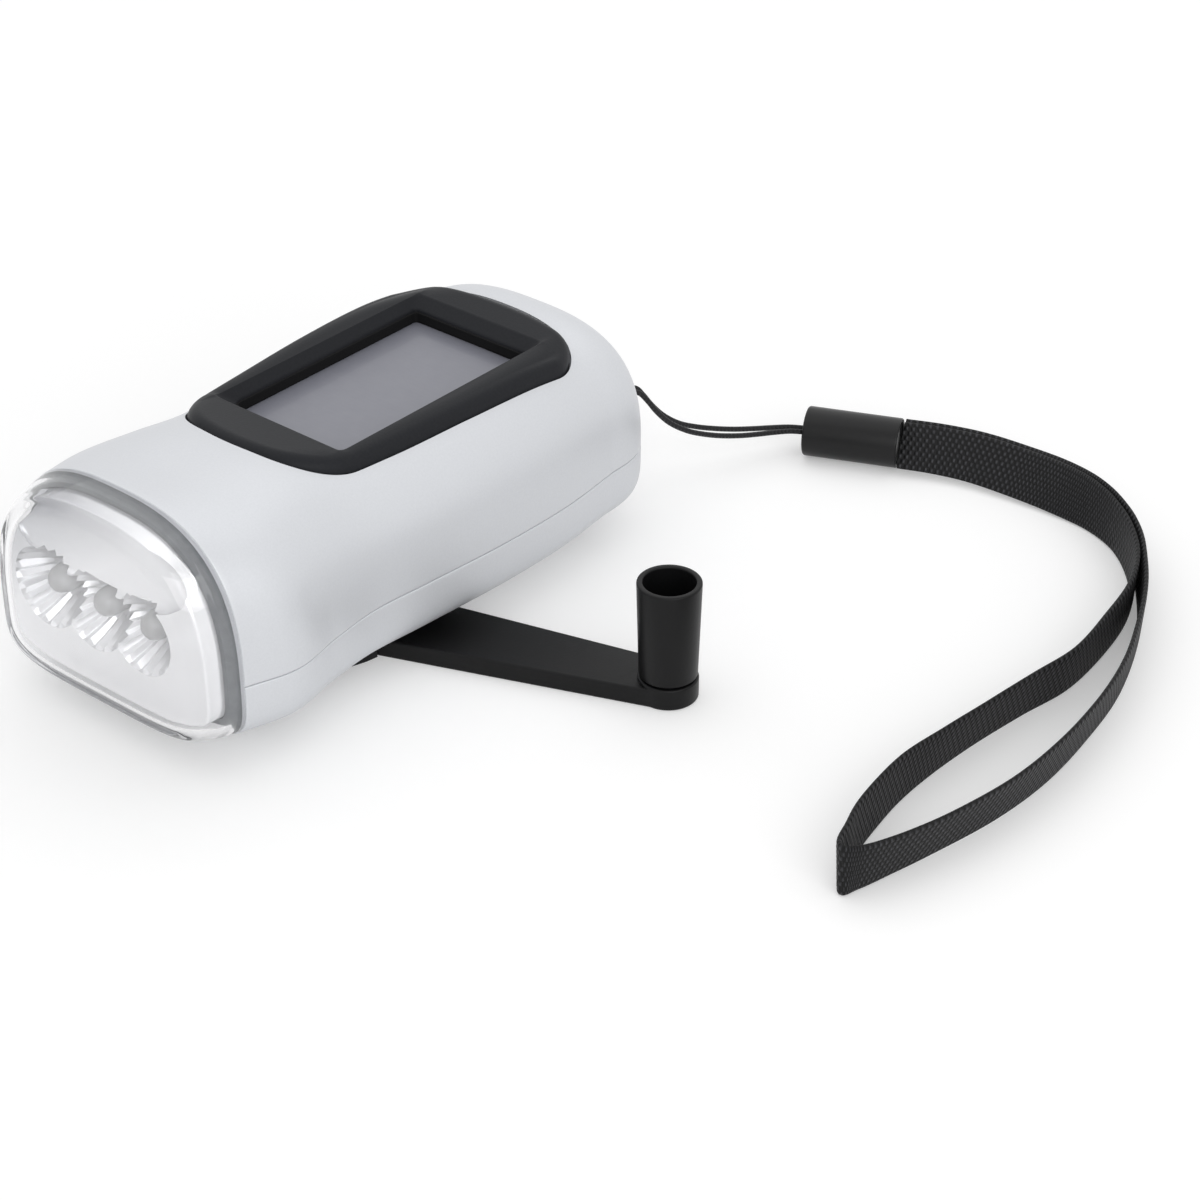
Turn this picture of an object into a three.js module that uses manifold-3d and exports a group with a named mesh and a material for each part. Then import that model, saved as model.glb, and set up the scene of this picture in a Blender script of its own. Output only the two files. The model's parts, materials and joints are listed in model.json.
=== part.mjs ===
// A hand crank torch with a solar window, a fold-out crank under the body and a wrist strap.
// Millimetres. +Z is up, -Y is the lens end, +Y the strap end. The origin is the crank's axis
// at the level of the table on which the crank's disc stands.
import * as THREE from 'three';
import { mergeVertices } from 'three/addons/utils/BufferGeometryUtils.js';
import Module from 'manifold-3d';

const wasm = await Module();
wasm.setup();

// Clearances that all pieces share
const gap = 0.3; // between two pieces that touch
const overrun = 5; // how far a cutting body reaches past what it cuts
const quarter = Math.PI / 2;

// Facets of round things
const bigSides = 44;
const smallSides = 16;
const bodySides = 40;

// The body: two shells that part where it is widest
const armThickness = 3.4; // the crank's arm, which turns under the body
const armClearance = 0.8;
const underside = armThickness + armClearance; // flat bottom over the table
const bottomCrown = 0.25; // of the section's lower curve, cut off flat at the underside
const partHeight = 16.2; // parting line and widest height
const jointFace = -39.5; // where the lens cap meets the shells
const rearEnd = 67.2;
const bodyHalfWidth = 28.5;
const headTop = 43.4; // top of the body at the lens joint
const upperPower = 2.75; // how square the section is above the parting line
const lowerPower = 4.5; // and below it
const rearPower = 2.9; // how square the rear end closes
const wall = 2.2;
const shellLength = rearEnd - jointFace;
// Along the shell: share of its length, of its half width and of its rise over the parting line
const stationShares = [
  [0, 0.905, 1],
  [0.089, 1, 0.963],
  [0.183, 0.944, 0.949],
  [0.276, 0.909, 0.912],
  [0.398, 0.947, 0.905],
  [0.558, 0.993, 0.92],
  [0.708, 0.996, 0.912],
  [0.839, 0.944, 0.857],
];
const bodyRingCount = 13;
const rearRingCount = 6;
const rearTurnShare = 0.94; // of the quarter turn that the last rear ring reaches

// The clear lens cap: share of its depth, and scale of its outline there
const capDepth = 8;
const capWall = 1.5;
const capDome = 0.4;
const faceRise = 5.8; // over the parting line, of the point that the outline shrinks towards
const faceCentre = partHeight + faceRise;
const capShares = [
  [0, 1],
  [0.55, 0.955],
  [0.8, 0.925],
  [0.94, 0.885],
  [1, 0.83],
];

// The solar window: frame on the body's top, panel in it
const frameFrontHalfWidth = 17.8; // at its front corners
const frameRearHalfWidth = 20.4;
const frameFront = -16.4; // at the middle of its bowed front edge
const frameRear = 52.4;
const frameFrontRadius = 13;
const frameRearRadius = 9;
const frameFrontLean = THREE.MathUtils.degToRad(12); // of the bowed edge where its corner begins
const frameRearLean = THREE.MathUtils.degToRad(9);
const sideFrontLean = THREE.MathUtils.degToRad(6); // of the bowed side behind the front corner
const sideRearLean = THREE.MathUtils.degToRad(1);
const frameRise = 1.5; // over the body's surface
const frameSeat = 1; // depth of its seat in the shell
const windowHalfWidth = 13.3;
const windowFront = -2.7;
const windowRear = 43;
const windowDrop = 5.3; // from the top of the body to the window's edge
const windowHeight = headTop - windowDrop;
const skirtWall = 1.9;
const skirtFront = 8.6; // how far the skirt reaches in front of the window
const skirtRear = 6.6; // and behind it, so that it backs both slopes
const panelDrop = 2.5; // from the window's edge to the panel's face
const panelThickness = 2;
const frontSlope = THREE.MathUtils.degToRad(23);
const rearSlope = THREE.MathUtils.degToRad(16);
const sideSlope = THREE.MathUtils.degToRad(20);

// Reflector, light-emitting diodes and their board
const reflectorInset = 3.4; // from the joint's outline
const reflectorThickness = 3;
const reflectorSetback = 3.1; // from the cap's outer face
const cupRise = 5.8; // of the row of cups over the parting line
const cupRow = partHeight + cupRise;
const cupShift = -2.5; // the row sits a little to the left, as photographed
const cupSpacing = 11;
const cupMouth = 6.9;
const cupThroat = 3;
const cupWall = 1.2;
const cupDepth = 9;
const bowlDrop = 10.4; // from the top of the body to the bowl's middle
const bowlHeight = headTop - bowlDrop;
const bowlHalfWidth = 17;
const bowlRise = 5.5;
const bowlDepth = 2.2;
const diodeRadius = 2.5;
const diodeLength = 5.6;
const diodeFlange = 2.9;
const flangeThickness = 1;
const boardThickness = 1.6;
const diodeBoardHalfWidth = 18;
const diodeBoardHalfHeight = 7;

// Crank: a disc under the body, a folding arm in its slot and a spinning handle
const discRadius = 18.5;
const discTop = 5.5;
const shaftRadius = 3;
const armAngle = THREE.MathUtils.degToRad(18.2); // from +X at rest
const armReach = 66.4; // crank axis to handle axis
const armRootHalfWidth = 7.6;
const armTipHalfWidth = 4.9;
const armStraight = 17; // root stretch of even width
const tipRadius = 5.15;
const tipHeight = 4;
const foldPinRadius = 1;
const foldPinOffset = -3; // along the arm, past the crank's axis
const foldPinReach = 12; // each way from the arm's middle
const handleTopRadius = 5.45;
const handleLowRadius = 4.95;
const handleTopBore = 4.4;
const handleLowBore = 4.15;
const handleFloor = 2.6;
const handleTop = 22.2;
const handlePinRadius = 1.8;
const handlePinHead = 3.2;
const pinHeadHeight = 1.2;

// Hub bush and the thick floor round it
const bushRadius = 5;
const hubFloor = 8;
const hubRadius = 21;

// Gear train: crank gear, two-step idler and the pinion on the generator
const coarseModule = 0.8;
const fineModule = 0.6;
const crankTeeth = 40;
const idlerPinionTeeth = 12;
const idlerWheelTeeth = 36;
const rotorPinionTeeth = 12;
const pressureAngle = THREE.MathUtils.degToRad(25);
const addendumShare = 0.85; // of the module
const dedendumShare = 1.2;
const backlash = 0.22;
const extraCentre = 0.1; // added to each centre distance
const gearWidth = 3;
const gearLow = hubFloor + 2 * gap;
const shaftTop = gearLow + gearWidth;
const wheelWidth = 2;
const wheelLow = gearLow + gearWidth + 2 * gap;
const axleRadius = 1;
const coarseTeethRun = coarseModule * (crankTeeth + idlerPinionTeeth);
const fineTeethRun = fineModule * (idlerWheelTeeth + rotorPinionTeeth);
const idlerY = coarseTeethRun / 2 + extraCentre;
const rotorY = idlerY + fineTeethRun / 2 + extraCentre;

// Gear plate on three pillars
const plateGap = 1; // over the idler's wheel
const plateLow = wheelLow + wheelWidth + plateGap;
const plateThickness = 1.6;
const pillarRadius = 2.6;
const pillarHalfSpan = 16;
const pillarY = 27;
const rearPillarY = 51;
const plateMargin = 3.2;
const plateScrewHead = 2.1;
const plateScrewShank = 1;
const screwHeadHeight = 1.4;
const plateScrewDepth = 6;

// Generator
const canRadius = 12.5;
const canWall = 0.9;
const canRoom = 4.1; // from the can to the solar panel
const baseThickness = 1.4;
const coilWidth = 2.6;
const magnetRadius = 7.6;
const magnetDrop = 1.2; // from the coil's top to the magnet's

// Control board and cells
const mainBoardLow = 15;
const mainBoardHalfWidth = 15.5;
const mainBoardRear = -15;
const boardPostRadius = 2;
const boardPostHalfSpan = 12.5;
const boardPostInset = 2.6;
const cellRoom = 8.8; // from the cells to the roof of the body
const cellInset = 0.75; // from the board's front edge to the cells
const cellThickness = 5.6;
const cellCount = 3;

// Switch on the left side
const switchY = -17;
const switchRise = 7.8; // over the parting line
const switchHeight = partHeight + switchRise;
const switchTravel = 3;
const switchBodyGap = 0.4; // from the wall's inner face to the switch body
const switchBodyDepth = 5;
const switchBodyHalfLength = 6;
const switchBodyHalfHeight = 3;
const stemHalfLength = 1.5;
const stemHalfHeight = 0.9;
const stemDepth = 2.7; // into the switch body
const knobGap = 0.7; // from the body's side to the knob
const knobThickness = 1.6;
const knobHalfLength = 2.75;
const knobHalfHeight = 2.2;

// Screws that hold the two shells together
const frontScrewX = 20;
const frontScrewY = -28;
const rearScrewX = 19.5;
const rearScrewY = 48;
const screwPlaces = [
  [frontScrewX, frontScrewY],
  [-frontScrewX, frontScrewY],
  [rearScrewX, rearScrewY],
  [-rearScrewX, rearScrewY],
];
const bossRadius = 3.5;
const screwHeadRadius = 2.7;
const screwShank = 1.25;
const screwSink = 1; // from the underside to the screw's head
const screwHeadLow = underside + screwSink;
const screwRise = 8.8; // of the screws' tips over the parting line
const screwTip = partHeight + screwRise;

// Strap: eyelet, knot, two thin cords, sleeve and webbing
const eyeletX = 13;
const eyeletRise = 3.4; // over the parting line
const eyeletHeight = partHeight + eyeletRise;
const eyeletLength = 5;
const eyeletWall = 0.6;
const knotRadius = 2.2;
const cordRadius = 0.5;
const cordSides = 8;
const cordSteps = 26;
const strandGap = 0.5; // between the two cords
const strandSpread = 1.8; // how far the near cord hangs out between its ends
const sleeveRadius = 4.7;
const sleeveLength = 18;
const sleeveAngle = THREE.MathUtils.degToRad(24);
const webbingWidth = 2 * sleeveRadius;
const webbingThickness = 0.9;
const webbingSteps = 76;

// Route of the two cords from the eyelet to the sleeve, along their middle
const cordRoute = [
  [13.0, 67.3, 19.6],
  [13.9, 69.2, 20.1],
  [15.0, 70.9, 19.9],
  [15.8, 72.2, 18.2],
  [16.6, 73.6, 15.9],
  [17.8, 75.6, 13.3],
  [19.2, 78.4, 11.0],
  [20.4, 81.8, 9.2],
  [22.0, 85.4, 7.8],
  [23.9, 89.4, 6.6],
  [25.6, 93.2, 5.7],
  [27.4, 96.6, 5.1],
  [29.4, 99.2, 4.8],
  [31.7, 100.6, 4.8],
];
// Route of the webbing: x, y, z and its lean in degrees to the left of its run.
// It leaves the sleeve in two layers, splits at the bend and folds at the tip.
const pairRoute = [
  [48.7, 108.15, 4.8, 50],
  [55.0, 111.0, 4.7, 48],
  [62.0, 113.1, 4.6, 45],
  [71.0, 114.0, 4.5, 41],
  [80.0, 113.8, 4.6, 30],
  [88.5, 112.2, 4.7, 14],
  [96.1, 108.3, 4.8, 4],
  [102.4, 102.7, 4.8, 3],
  [107.3, 96.2, 4.8, 3],
];
const outerRoute = [
  [112.8, 88.6, 4.8, 3],
  [117.6, 78.4, 4.8, 4],
  [121.9, 66.6, 4.8, 8],
  [124.5, 54.5, 4.8, 12],
  [126.1, 40.0, 4.8, 13],
  [125.8, 27.0, 4.8, 16],
  [123.6, 14.0, 4.8, 17],
  [121.0, 4.0, 4.8, 14],
  [118.8, -2.2, 4.8, 8],
  [117.2, -4.6, 4.8, 0],
];
const innerRoute = [
  [115.9, -3.6, 4.8, 3],
  [114.3, 0.8, 4.8, 3],
  [112.6, 5.6, 4.8, 2],
  [111.2, 12.5, 4.8, 1],
  [110.2, 21.0, 4.8, -2],
  [110.5, 31.0, 4.8, -9],
  [111.4, 42.0, 4.8, -12],
  [112.6, 53.0, 4.8, -11],
  [114.0, 64.0, 4.8, -8],
  [112.6, 77.0, 4.8, -3],
  [110.4, 87.4, 4.8, -3],
];
const layerGap = 0.34; // between the two layers

// Colours, roughness and metalness of the materials
const silverPaint = { color: 0xd8dadd, roughness: 0.38, metalness: 0.25 };
const clearPlastic = { color: 0xe9edf0, roughness: 0.05, metalness: 0 };
const chromePlating = { color: 0xe2e4e6, roughness: 0.12, metalness: 1 };
const blackPlastic = { color: 0x2b2b2d, roughness: 0.45, metalness: 0 };
const greyPlastic = { color: 0x3a3b3d, roughness: 0.55, metalness: 0 };
const whiteNylon = { color: 0xe6e4dc, roughness: 0.5, metalness: 0 };
const panelGlass = { color: 0x8b8d96, roughness: 0.3, metalness: 0 };
const boardGreen = { color: 0x2f6b46, roughness: 0.5, metalness: 0 };
const diodeClear = { color: 0xf2f4f2, roughness: 0.08, metalness: 0 };
const steel = { color: 0xb9bcc0, roughness: 0.3, metalness: 1 };
const copper = { color: 0xb06a3c, roughness: 0.4, metalness: 1 };
const magnetGrey = { color: 0x4a4b4f, roughness: 0.45, metalness: 0.6 };
const strapBlack = { color: 0x232325, roughness: 0.9, metalness: 0 };

const torch = new THREE.Group();

// Adds one named piece to the torch, or to a turned group in it
function piece(name, shape, finish, parent = torch) {
  const geometry = shape.isBufferGeometry ? shape : geometryOf(shape);
  const mesh = new THREE.Mesh(geometry, new THREE.MeshStandardMaterial(finish));
  mesh.name = name;
  parent.add(mesh);
}

// A closed three.js geometry as a solid that can be joined and cut
function solid(geometry) {
  const bare = geometry.index ? geometry.toNonIndexed() : geometry.clone();
  bare.deleteAttribute('normal');
  bare.deleteAttribute('uv');
  const merged = mergeVertices(bare);
  return new wasm.Manifold(new wasm.Mesh({
    numProp: 3,
    vertProperties: merged.attributes.position.array,
    triVerts: new Uint32Array(merged.index.array),
  }));
}

function geometryOf(manifold) {
  const mesh = manifold.getMesh();
  const geometry = new THREE.BufferGeometry();
  geometry.setAttribute('position', new THREE.BufferAttribute(mesh.vertProperties, 3));
  geometry.setIndex(new THREE.BufferAttribute(mesh.triVerts, 1));
  return geometry.toNonIndexed();
}

// A box between two heights, two places along Y and two across X
function block(x0, x1, y0, y1, z0, z1) {
  const box = new THREE.BoxGeometry(x1 - x0, y1 - y0, z1 - z0);
  return box.translate((x0 + x1) / 2, (y0 + y1) / 2, (z0 + z1) / 2);
}

// A round bar that stands at (x, y) from one height to another
function bar(radius, low, high, x = 0, y = 0, sides = smallSides) {
  const geometry = new THREE.CylinderGeometry(radius, radius, high - low, sides);
  return geometry.rotateX(quarter).translate(x, y, (low + high) / 2);
}

// A profile of radius and height pairs turned about an upright axis at (x, y)
function turned(profile, x = 0, y = 0, sides = smallSides) {
  const points = profile.map(([radius, height]) => new THREE.Vector2(radius, height));
  return new THREE.LatheGeometry(points, sides).rotateX(quarter).translate(x, y, 0);
}

function tube(inner, outer, low, high, x = 0, y = 0, sides = smallSides) {
  return turned([[inner, low], [outer, low], [outer, high], [inner, high], [inner, low]], x, y, sides);
}

// Closed skin over rings of equal count that follow one another along +Y
function loft(rings, startTip, endTip) {
  const count = rings[0].length;
  const positions = [];
  const add = (...corners) => corners.forEach((corner) => positions.push(...corner.toArray()));
  for (let i = 0; i + 1 < rings.length; i += 1) {
    for (let j = 0; j < count; j += 1) {
      const k = (j + 1) % count;
      add(rings[i][j], rings[i + 1][j], rings[i][k]);
      add(rings[i][k], rings[i + 1][j], rings[i + 1][k]);
    }
  }
  const last = rings[rings.length - 1];
  for (let j = 0; j < count; j += 1) {
    const k = (j + 1) % count;
    add(startTip, rings[0][j], rings[0][k]);
    add(endTip, last[k], last[j]);
  }
  const geometry = new THREE.BufferGeometry();
  geometry.setAttribute('position', new THREE.Float32BufferAttribute(positions, 3));
  return geometry;
}

// One section of the body: a superellipse, squarer below its widest height
function section(y, halfWidth, top, bottom, widest) {
  const ring = [];
  for (let i = 0; i < bodySides; i += 1) {
    const angle = (4 * quarter * i) / bodySides;
    const c = Math.cos(angle);
    const s = Math.sin(angle);
    const power = 2 / (i < bodySides / 2 ? upperPower : lowerPower);
    const height = i < bodySides / 2 ? top - widest : widest - bottom;
    const x = halfWidth * Math.sign(c) * Math.abs(c) ** power;
    const z = widest + height * Math.sign(s) * Math.abs(s) ** power;
    ring.push(new THREE.Vector3(x, y, z));
  }
  return ring;
}

// Station curve: x holds the place along Y, y the half width and z the top
const stationCurve = new THREE.CatmullRomCurve3(stationShares.map(([along, wide, rise]) => (
  new THREE.Vector3(
    jointFace + shellLength * along,
    bodyHalfWidth * wide,
    partHeight + (headTop - partHeight) * rise,
  ))));

const far = 4 * bodyHalfWidth;

const above = (height) => solid(block(-far, far, -far, far, height, far));
const below = (height) => solid(block(-far, far, -far, far, -far, height));

// The body's outer form, grown or shrunk by one distance all round
function bodyForm(grow, frontReach = 0) {
  const rings = [];
  const first = stationCurve.getPoint(0);
  const bottom = underside - bottomCrown - grow;
  if (frontReach) {
    rings.push(section(first.x - frontReach, first.y + grow, first.z + grow, bottom, partHeight));
  }
  for (let i = 0; i <= bodyRingCount; i += 1) {
    const at = stationCurve.getPoint(i / bodyRingCount);
    rings.push(section(at.x, at.y + grow, at.z + grow, bottom, partHeight));
  }
  const shoulder = stationCurve.getPoint(1);
  const run = rearEnd + grow - shoulder.x;
  for (let i = 1; i <= rearRingCount; i += 1) {
    const turn = (quarter * rearTurnShare * i) / rearRingCount;
    const along = Math.sin(turn) ** (2 / rearPower);
    const scale = Math.cos(turn) ** (2 / rearPower);
    rings.push(section(
      shoulder.x + run * along,
      (shoulder.y + grow) * scale,
      partHeight + (shoulder.z + grow - partHeight) * scale,
      partHeight - (partHeight - bottom) * scale,
      partHeight,
    ));
  }
  const start = new THREE.Vector3(0, rings[0][0].y, partHeight);
  return solid(loft(rings, start, new THREE.Vector3(0, rearEnd + grow, partHeight)));
}

// Half width of the grown or shrunk form at a place along Y and a height above the parting line
function sideAt(y, height, grow = 0) {
  let at = stationCurve.getPoint(0);
  for (let i = 0; i <= far && at.x < y; i += 1) at = stationCurve.getPoint(i / far);
  const share = (height - partHeight) / (at.z + grow - partHeight);
  return (at.y + grow) * (1 - share ** upperPower) ** (1 / upperPower);
}

const outerForm = bodyForm(0).intersect(above(underside));
const innerForm = bodyForm(-wall, overrun);
const bossForm = bodyForm(-wall / 3);

// Outline of the solar window's frame, seen from above
function frameOutline(grow) {
  const front = frameFront - grow;
  const rear = frameRear + grow;
  const frontRadius = frameFrontRadius + grow;
  const rearRadius = frameRearRadius + grow;
  const frontX = frameFrontHalfWidth - frameFrontRadius;
  const rearX = frameRearHalfWidth - frameRearRadius;
  const frontRun = frontX + frontRadius * Math.sin(frameFrontLean);
  const rearRun = rearX + rearRadius * Math.sin(frameRearLean);
  const frontBow = frontRun * Math.tan(frameFrontLean) / 2;
  const rearBow = rearRun * Math.tan(frameRearLean) / 2;
  const frontY = front + frontBow + frontRadius * Math.cos(frameFrontLean);
  const rearY = rear - rearBow - rearRadius * Math.cos(frameRearLean);
  const startX = frontX + frontRadius * Math.cos(sideFrontLean);
  const startY = frontY - frontRadius * Math.sin(sideFrontLean);
  const endX = rearX + rearRadius * Math.cos(sideRearLean);
  const endY = rearY + rearRadius * Math.sin(sideRearLean);
  const widening = Math.tan(sideFrontLean);
  const narrowing = Math.tan(sideRearLean);
  const bendRun = (endX - startX + (endY - startY) * narrowing) / (widening + narrowing);
  const bendX = startX + bendRun * widening;
  const bendY = startY + bendRun;
  const outline = new THREE.Shape();
  outline.absarc(frontX, frontY, frontRadius, frameFrontLean - quarter, -sideFrontLean, false);
  outline.quadraticCurveTo(bendX, bendY, endX, endY);
  outline.absarc(rearX, rearY, rearRadius, sideRearLean, quarter - frameRearLean, false);
  outline.quadraticCurveTo(0, rear + rearBow, -rearRun, rear - rearBow);
  outline.absarc(-rearX, rearY, rearRadius, quarter + frameRearLean, 2 * quarter - sideRearLean, false);
  outline.quadraticCurveTo(-bendX, bendY, -startX, startY);
  outline.absarc(-frontX, frontY, frontRadius, 2 * quarter + sideFrontLean, 3 * quarter - frameFrontLean, false);
  outline.quadraticCurveTo(0, front - frontBow, frontRun, front + frontBow);
  return outline;
}

function prism(shape, low, high, curveSegments = 6) {
  const options = { depth: high - low, bevelEnabled: false, curveSegments };
  return new THREE.ExtrudeGeometry(shape, options).translate(0, 0, low);
}

// Everything above four planes that rise outwards from the window's edges
function windowBevel() {
  const size = 2 * far;
  const slab = (turn, axis, x, y) => {
    const box = new THREE.BoxGeometry(size, size, size).translate(0, 0, size / 2);
    box[axis](turn);
    return solid(box.translate(x, y, windowHeight));
  };
  return slab(-frontSlope, 'rotateX', 0, windowFront)
    .intersect(slab(rearSlope, 'rotateX', 0, windowRear))
    .intersect(slab(-sideSlope, 'rotateY', windowHalfWidth, 0))
    .intersect(slab(sideSlope, 'rotateY', -windowHalfWidth, 0));
}

// Places that follow one another from the cap's face backwards
const reflectorFace = jointFace - gap - capDepth + reflectorSetback;
const cupBack = reflectorFace + cupDepth;
const cupPlaces = [-1, 0, 1].map((step) => cupShift + step * cupSpacing);
const diodeBoardFront = cupBack + 2 * gap + flangeThickness;
const mainBoardFront = diodeBoardFront + boardThickness + gap;
const cellLow = mainBoardLow + boardThickness + gap;
const cellRadius = (headTop - wall - cellRoom - cellLow) / 2;
const cellRow = mainBoardFront + cellInset + cellRadius;

// Places that follow the body's side and rear
const knobInner = -sideAt(switchY, switchHeight) - knobGap;
const switchBodyEnd = switchY + switchTravel / 2 + switchBodyHalfLength;
const switchBodyTop = switchHeight + switchBodyHalfHeight;
const switchBodyOuter = switchBodyGap - sideAt(switchBodyEnd, switchBodyTop, -wall);
const stemInner = switchBodyOuter + stemDepth;
const eyeletFace = rearEnd - gap;
const eyeletInner = eyeletFace - eyeletLength;
const strandOffset = cordRadius + strandGap / 2;
const eyeletBore = strandOffset + cordRadius + gap / 2;
const eyeletRadius = eyeletBore + eyeletWall;

// Upper and lower shell
const frameLow = partHeight + (headTop - partHeight) / 2;
const skirtHalfWidth = windowHalfWidth + skirtWall;
const openingHalfWidth = skirtHalfWidth + gap;
const openingFront = windowFront - skirtFront - gap;
const openingRear = windowRear + skirtRear + gap;

function upperShell() {
  let shell = outerForm.subtract(innerForm);
  for (const [x, y] of screwPlaces) {
    const boss = solid(bar(bossRadius, partHeight, headTop, x, y));
    shell = shell.add(boss.intersect(bossForm));
  }
  shell = shell.intersect(above(partHeight + gap / 2));
  const seat = solid(prism(frameOutline(gap), frameLow, headTop + overrun));
  shell = shell.subtract(seat.subtract(bodyForm(-frameSeat)));
  const opening = block(-openingHalfWidth, openingHalfWidth, openingFront, openingRear, frameLow, far);
  shell = shell.subtract(solid(opening));
  for (const [x, y] of screwPlaces) {
    shell = shell.subtract(solid(bar(screwShank + gap, 0, screwTip + gap, x, y)));
  }
  const slotHalfHeight = stemHalfHeight + gap;
  const slot = block(
    -bodyHalfWidth - overrun,
    switchBodyOuter,
    switchY - stemHalfLength - gap,
    switchY + stemHalfLength + switchTravel + gap,
    switchHeight - slotHalfHeight,
    switchHeight + slotHalfHeight,
  );
  shell = shell.subtract(solid(slot));
  return shell.subtract(solid(eyeletBar(eyeletRadius + gap, eyeletInner, rearEnd + overrun)));
}

function lowerShell() {
  let shell = outerForm.subtract(innerForm);
  const hub = solid(bar(hubRadius, 0, hubFloor, 0, 0, bigSides));
  let inside = hub.add(solid(bar(pillarRadius, 0, gearLow - gap, 0, idlerY)));
  for (const [x, y] of screwPlaces) {
    inside = inside.add(solid(bar(bossRadius, 0, partHeight, x, y)));
  }
  shell = shell.add(inside.intersect(bossForm)).intersect(below(partHeight - gap / 2));
  for (const [x, y] of pillarPlaces) {
    shell = shell.add(solid(bar(pillarRadius, postLow, plateLow - gap, x, y)));
  }
  for (const [x, y] of boardPostPlaces) {
    shell = shell.add(solid(bar(boardPostRadius, postLow, mainBoardLow - gap, x, y)));
  }
  const recess = solid(bar(discRadius + 2 * gap, 0, discTop + gap, 0, 0, bigSides));
  shell = shell.subtract(recess).subtract(solid(bar(bushRadius + gap, 0, far, 0, 0)));
  for (const [x, y] of pillarPlaces) {
    const low = plateLow - plateScrewDepth - gap;
    shell = shell.subtract(solid(bar(plateScrewShank + gap, low, far, x, y)));
  }
  for (const [x, y] of screwPlaces) {
    shell = shell.subtract(solid(bar(screwShank + gap, 0, far, x, y)));
    shell = shell.subtract(solid(bar(screwHeadRadius + gap, 0, screwHeadLow + screwHeadHeight + gap, x, y)));
  }
  const axleHole = bar(axleRadius + gap, axleLow - gap, far, 0, idlerY);
  return shell.subtract(solid(axleHole));
}

const pillarPlaces = [
  [pillarHalfSpan, pillarY],
  [-pillarHalfSpan, pillarY],
  [0, rearPillarY],
];
const boardPostPlaces = [];
for (const x of [boardPostHalfSpan, -boardPostHalfSpan]) {
  for (const y of [mainBoardFront + boardPostInset, mainBoardRear - boardPostInset]) {
    boardPostPlaces.push([x, y]);
  }
}
const axleLow = underside + wall;
const postLow = underside + wall / 2;

// A bar along +Y through the eyelet's hole
function eyeletBar(radius, rear, front, sides = smallSides) {
  const geometry = new THREE.CylinderGeometry(radius, radius, front - rear, sides);
  return geometry.translate(eyeletX, (rear + front) / 2, eyeletHeight);
}

piece('upper_shell', upperShell(), silverPaint);
piece('lower_shell', lowerShell(), silverPaint);

// Lens cap: the joint's outline drawn in towards the face, with an even wall
function capForm(inset, depth) {
  const joint = stationCurve.getPoint(0);
  const shrink = (height, scale) => faceCentre + (height - faceCentre) * scale;
  const rings = capShares.map(([along, scale]) => section(
    jointFace - gap - depth * along,
    joint.y * scale - inset,
    shrink(joint.z, scale) - inset,
    shrink(underside, scale) + inset,
    shrink(partHeight, scale),
  ));
  if (inset) rings.unshift(rings[0].map((corner) => corner.clone().setY(jointFace + overrun)));
  rings.reverse();
  const tip = new THREE.Vector3(0, jointFace - gap - depth - capDome, faceCentre);
  return solid(loft(rings, tip, new THREE.Vector3(0, rings[rings.length - 1][0].y, faceCentre)));
}
piece('lens_cap', capForm(0, capDepth).subtract(capForm(capWall, capDepth - capWall)), clearPlastic);

// Reflector: a plate with a shallow bowl over a row of three cups
function reflector() {
  const joint = stationCurve.getPoint(0);
  const ring = (y) => section(
    y,
    joint.y - reflectorInset,
    joint.z - reflectorInset,
    underside + reflectorInset,
    partHeight,
  );
  const back = reflectorFace + reflectorThickness;
  const start = new THREE.Vector3(0, reflectorFace, faceCentre);
  let plate = solid(loft([ring(reflectorFace), ring(back)], start, new THREE.Vector3(0, back, faceCentre)));
  const cone = (mouth, throat, front, rear, x) => {
    const geometry = new THREE.CylinderGeometry(throat, mouth, rear - front, smallSides);
    return solid(geometry.translate(x, (front + rear) / 2, cupRow));
  };
  for (const x of cupPlaces) {
    plate = plate.add(cone(cupMouth + cupWall, cupThroat + cupWall, reflectorFace, cupBack, x));
  }
  for (const x of cupPlaces) {
    plate = plate.subtract(cone(cupMouth, cupThroat, reflectorFace, cupBack, x));
  }
  for (const x of cupPlaces) {
    plate = plate.subtract(cone(cupThroat, cupThroat, reflectorFace - overrun, cupBack + overrun, x));
  }
  const bowl = new THREE.SphereGeometry(1, smallSides, smallSides / 2);
  bowl.scale(bowlHalfWidth, bowlDepth, bowlRise).translate(0, reflectorFace, bowlHeight);
  return plate.subtract(solid(bowl));
}
piece('reflector', reflector(), chromePlating);

// Each diode looks out along -Y through the throat of its cup
cupPlaces.forEach((x, index) => {
  const dome = [];
  const domeSteps = 4;
  for (let i = 0; i <= domeSteps; i += 1) {
    const turn = (quarter * i) / domeSteps;
    dome.push([diodeRadius * Math.cos(turn), flangeThickness + diodeLength + diodeRadius * Math.sin(turn)]);
  }
  const profile = [[0, 0], [diodeFlange, 0], [diodeFlange, flangeThickness], [diodeRadius, flangeThickness]];
  const diode = turned([...profile, ...dome.slice(0, domeSteps), [0, dome[domeSteps][1]]], 0, 0, smallSides);
  diode.rotateX(quarter).translate(x, cupBack + gap + flangeThickness, cupRow);
  piece(`led_${index + 1}`, diode, diodeClear);
});
piece('led_board', block(
  cupShift - diodeBoardHalfWidth,
  cupShift + diodeBoardHalfWidth,
  diodeBoardFront,
  diodeBoardFront + boardThickness,
  cupRow - diodeBoardHalfHeight,
  cupRow + diodeBoardHalfHeight,
), boardGreen);

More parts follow.
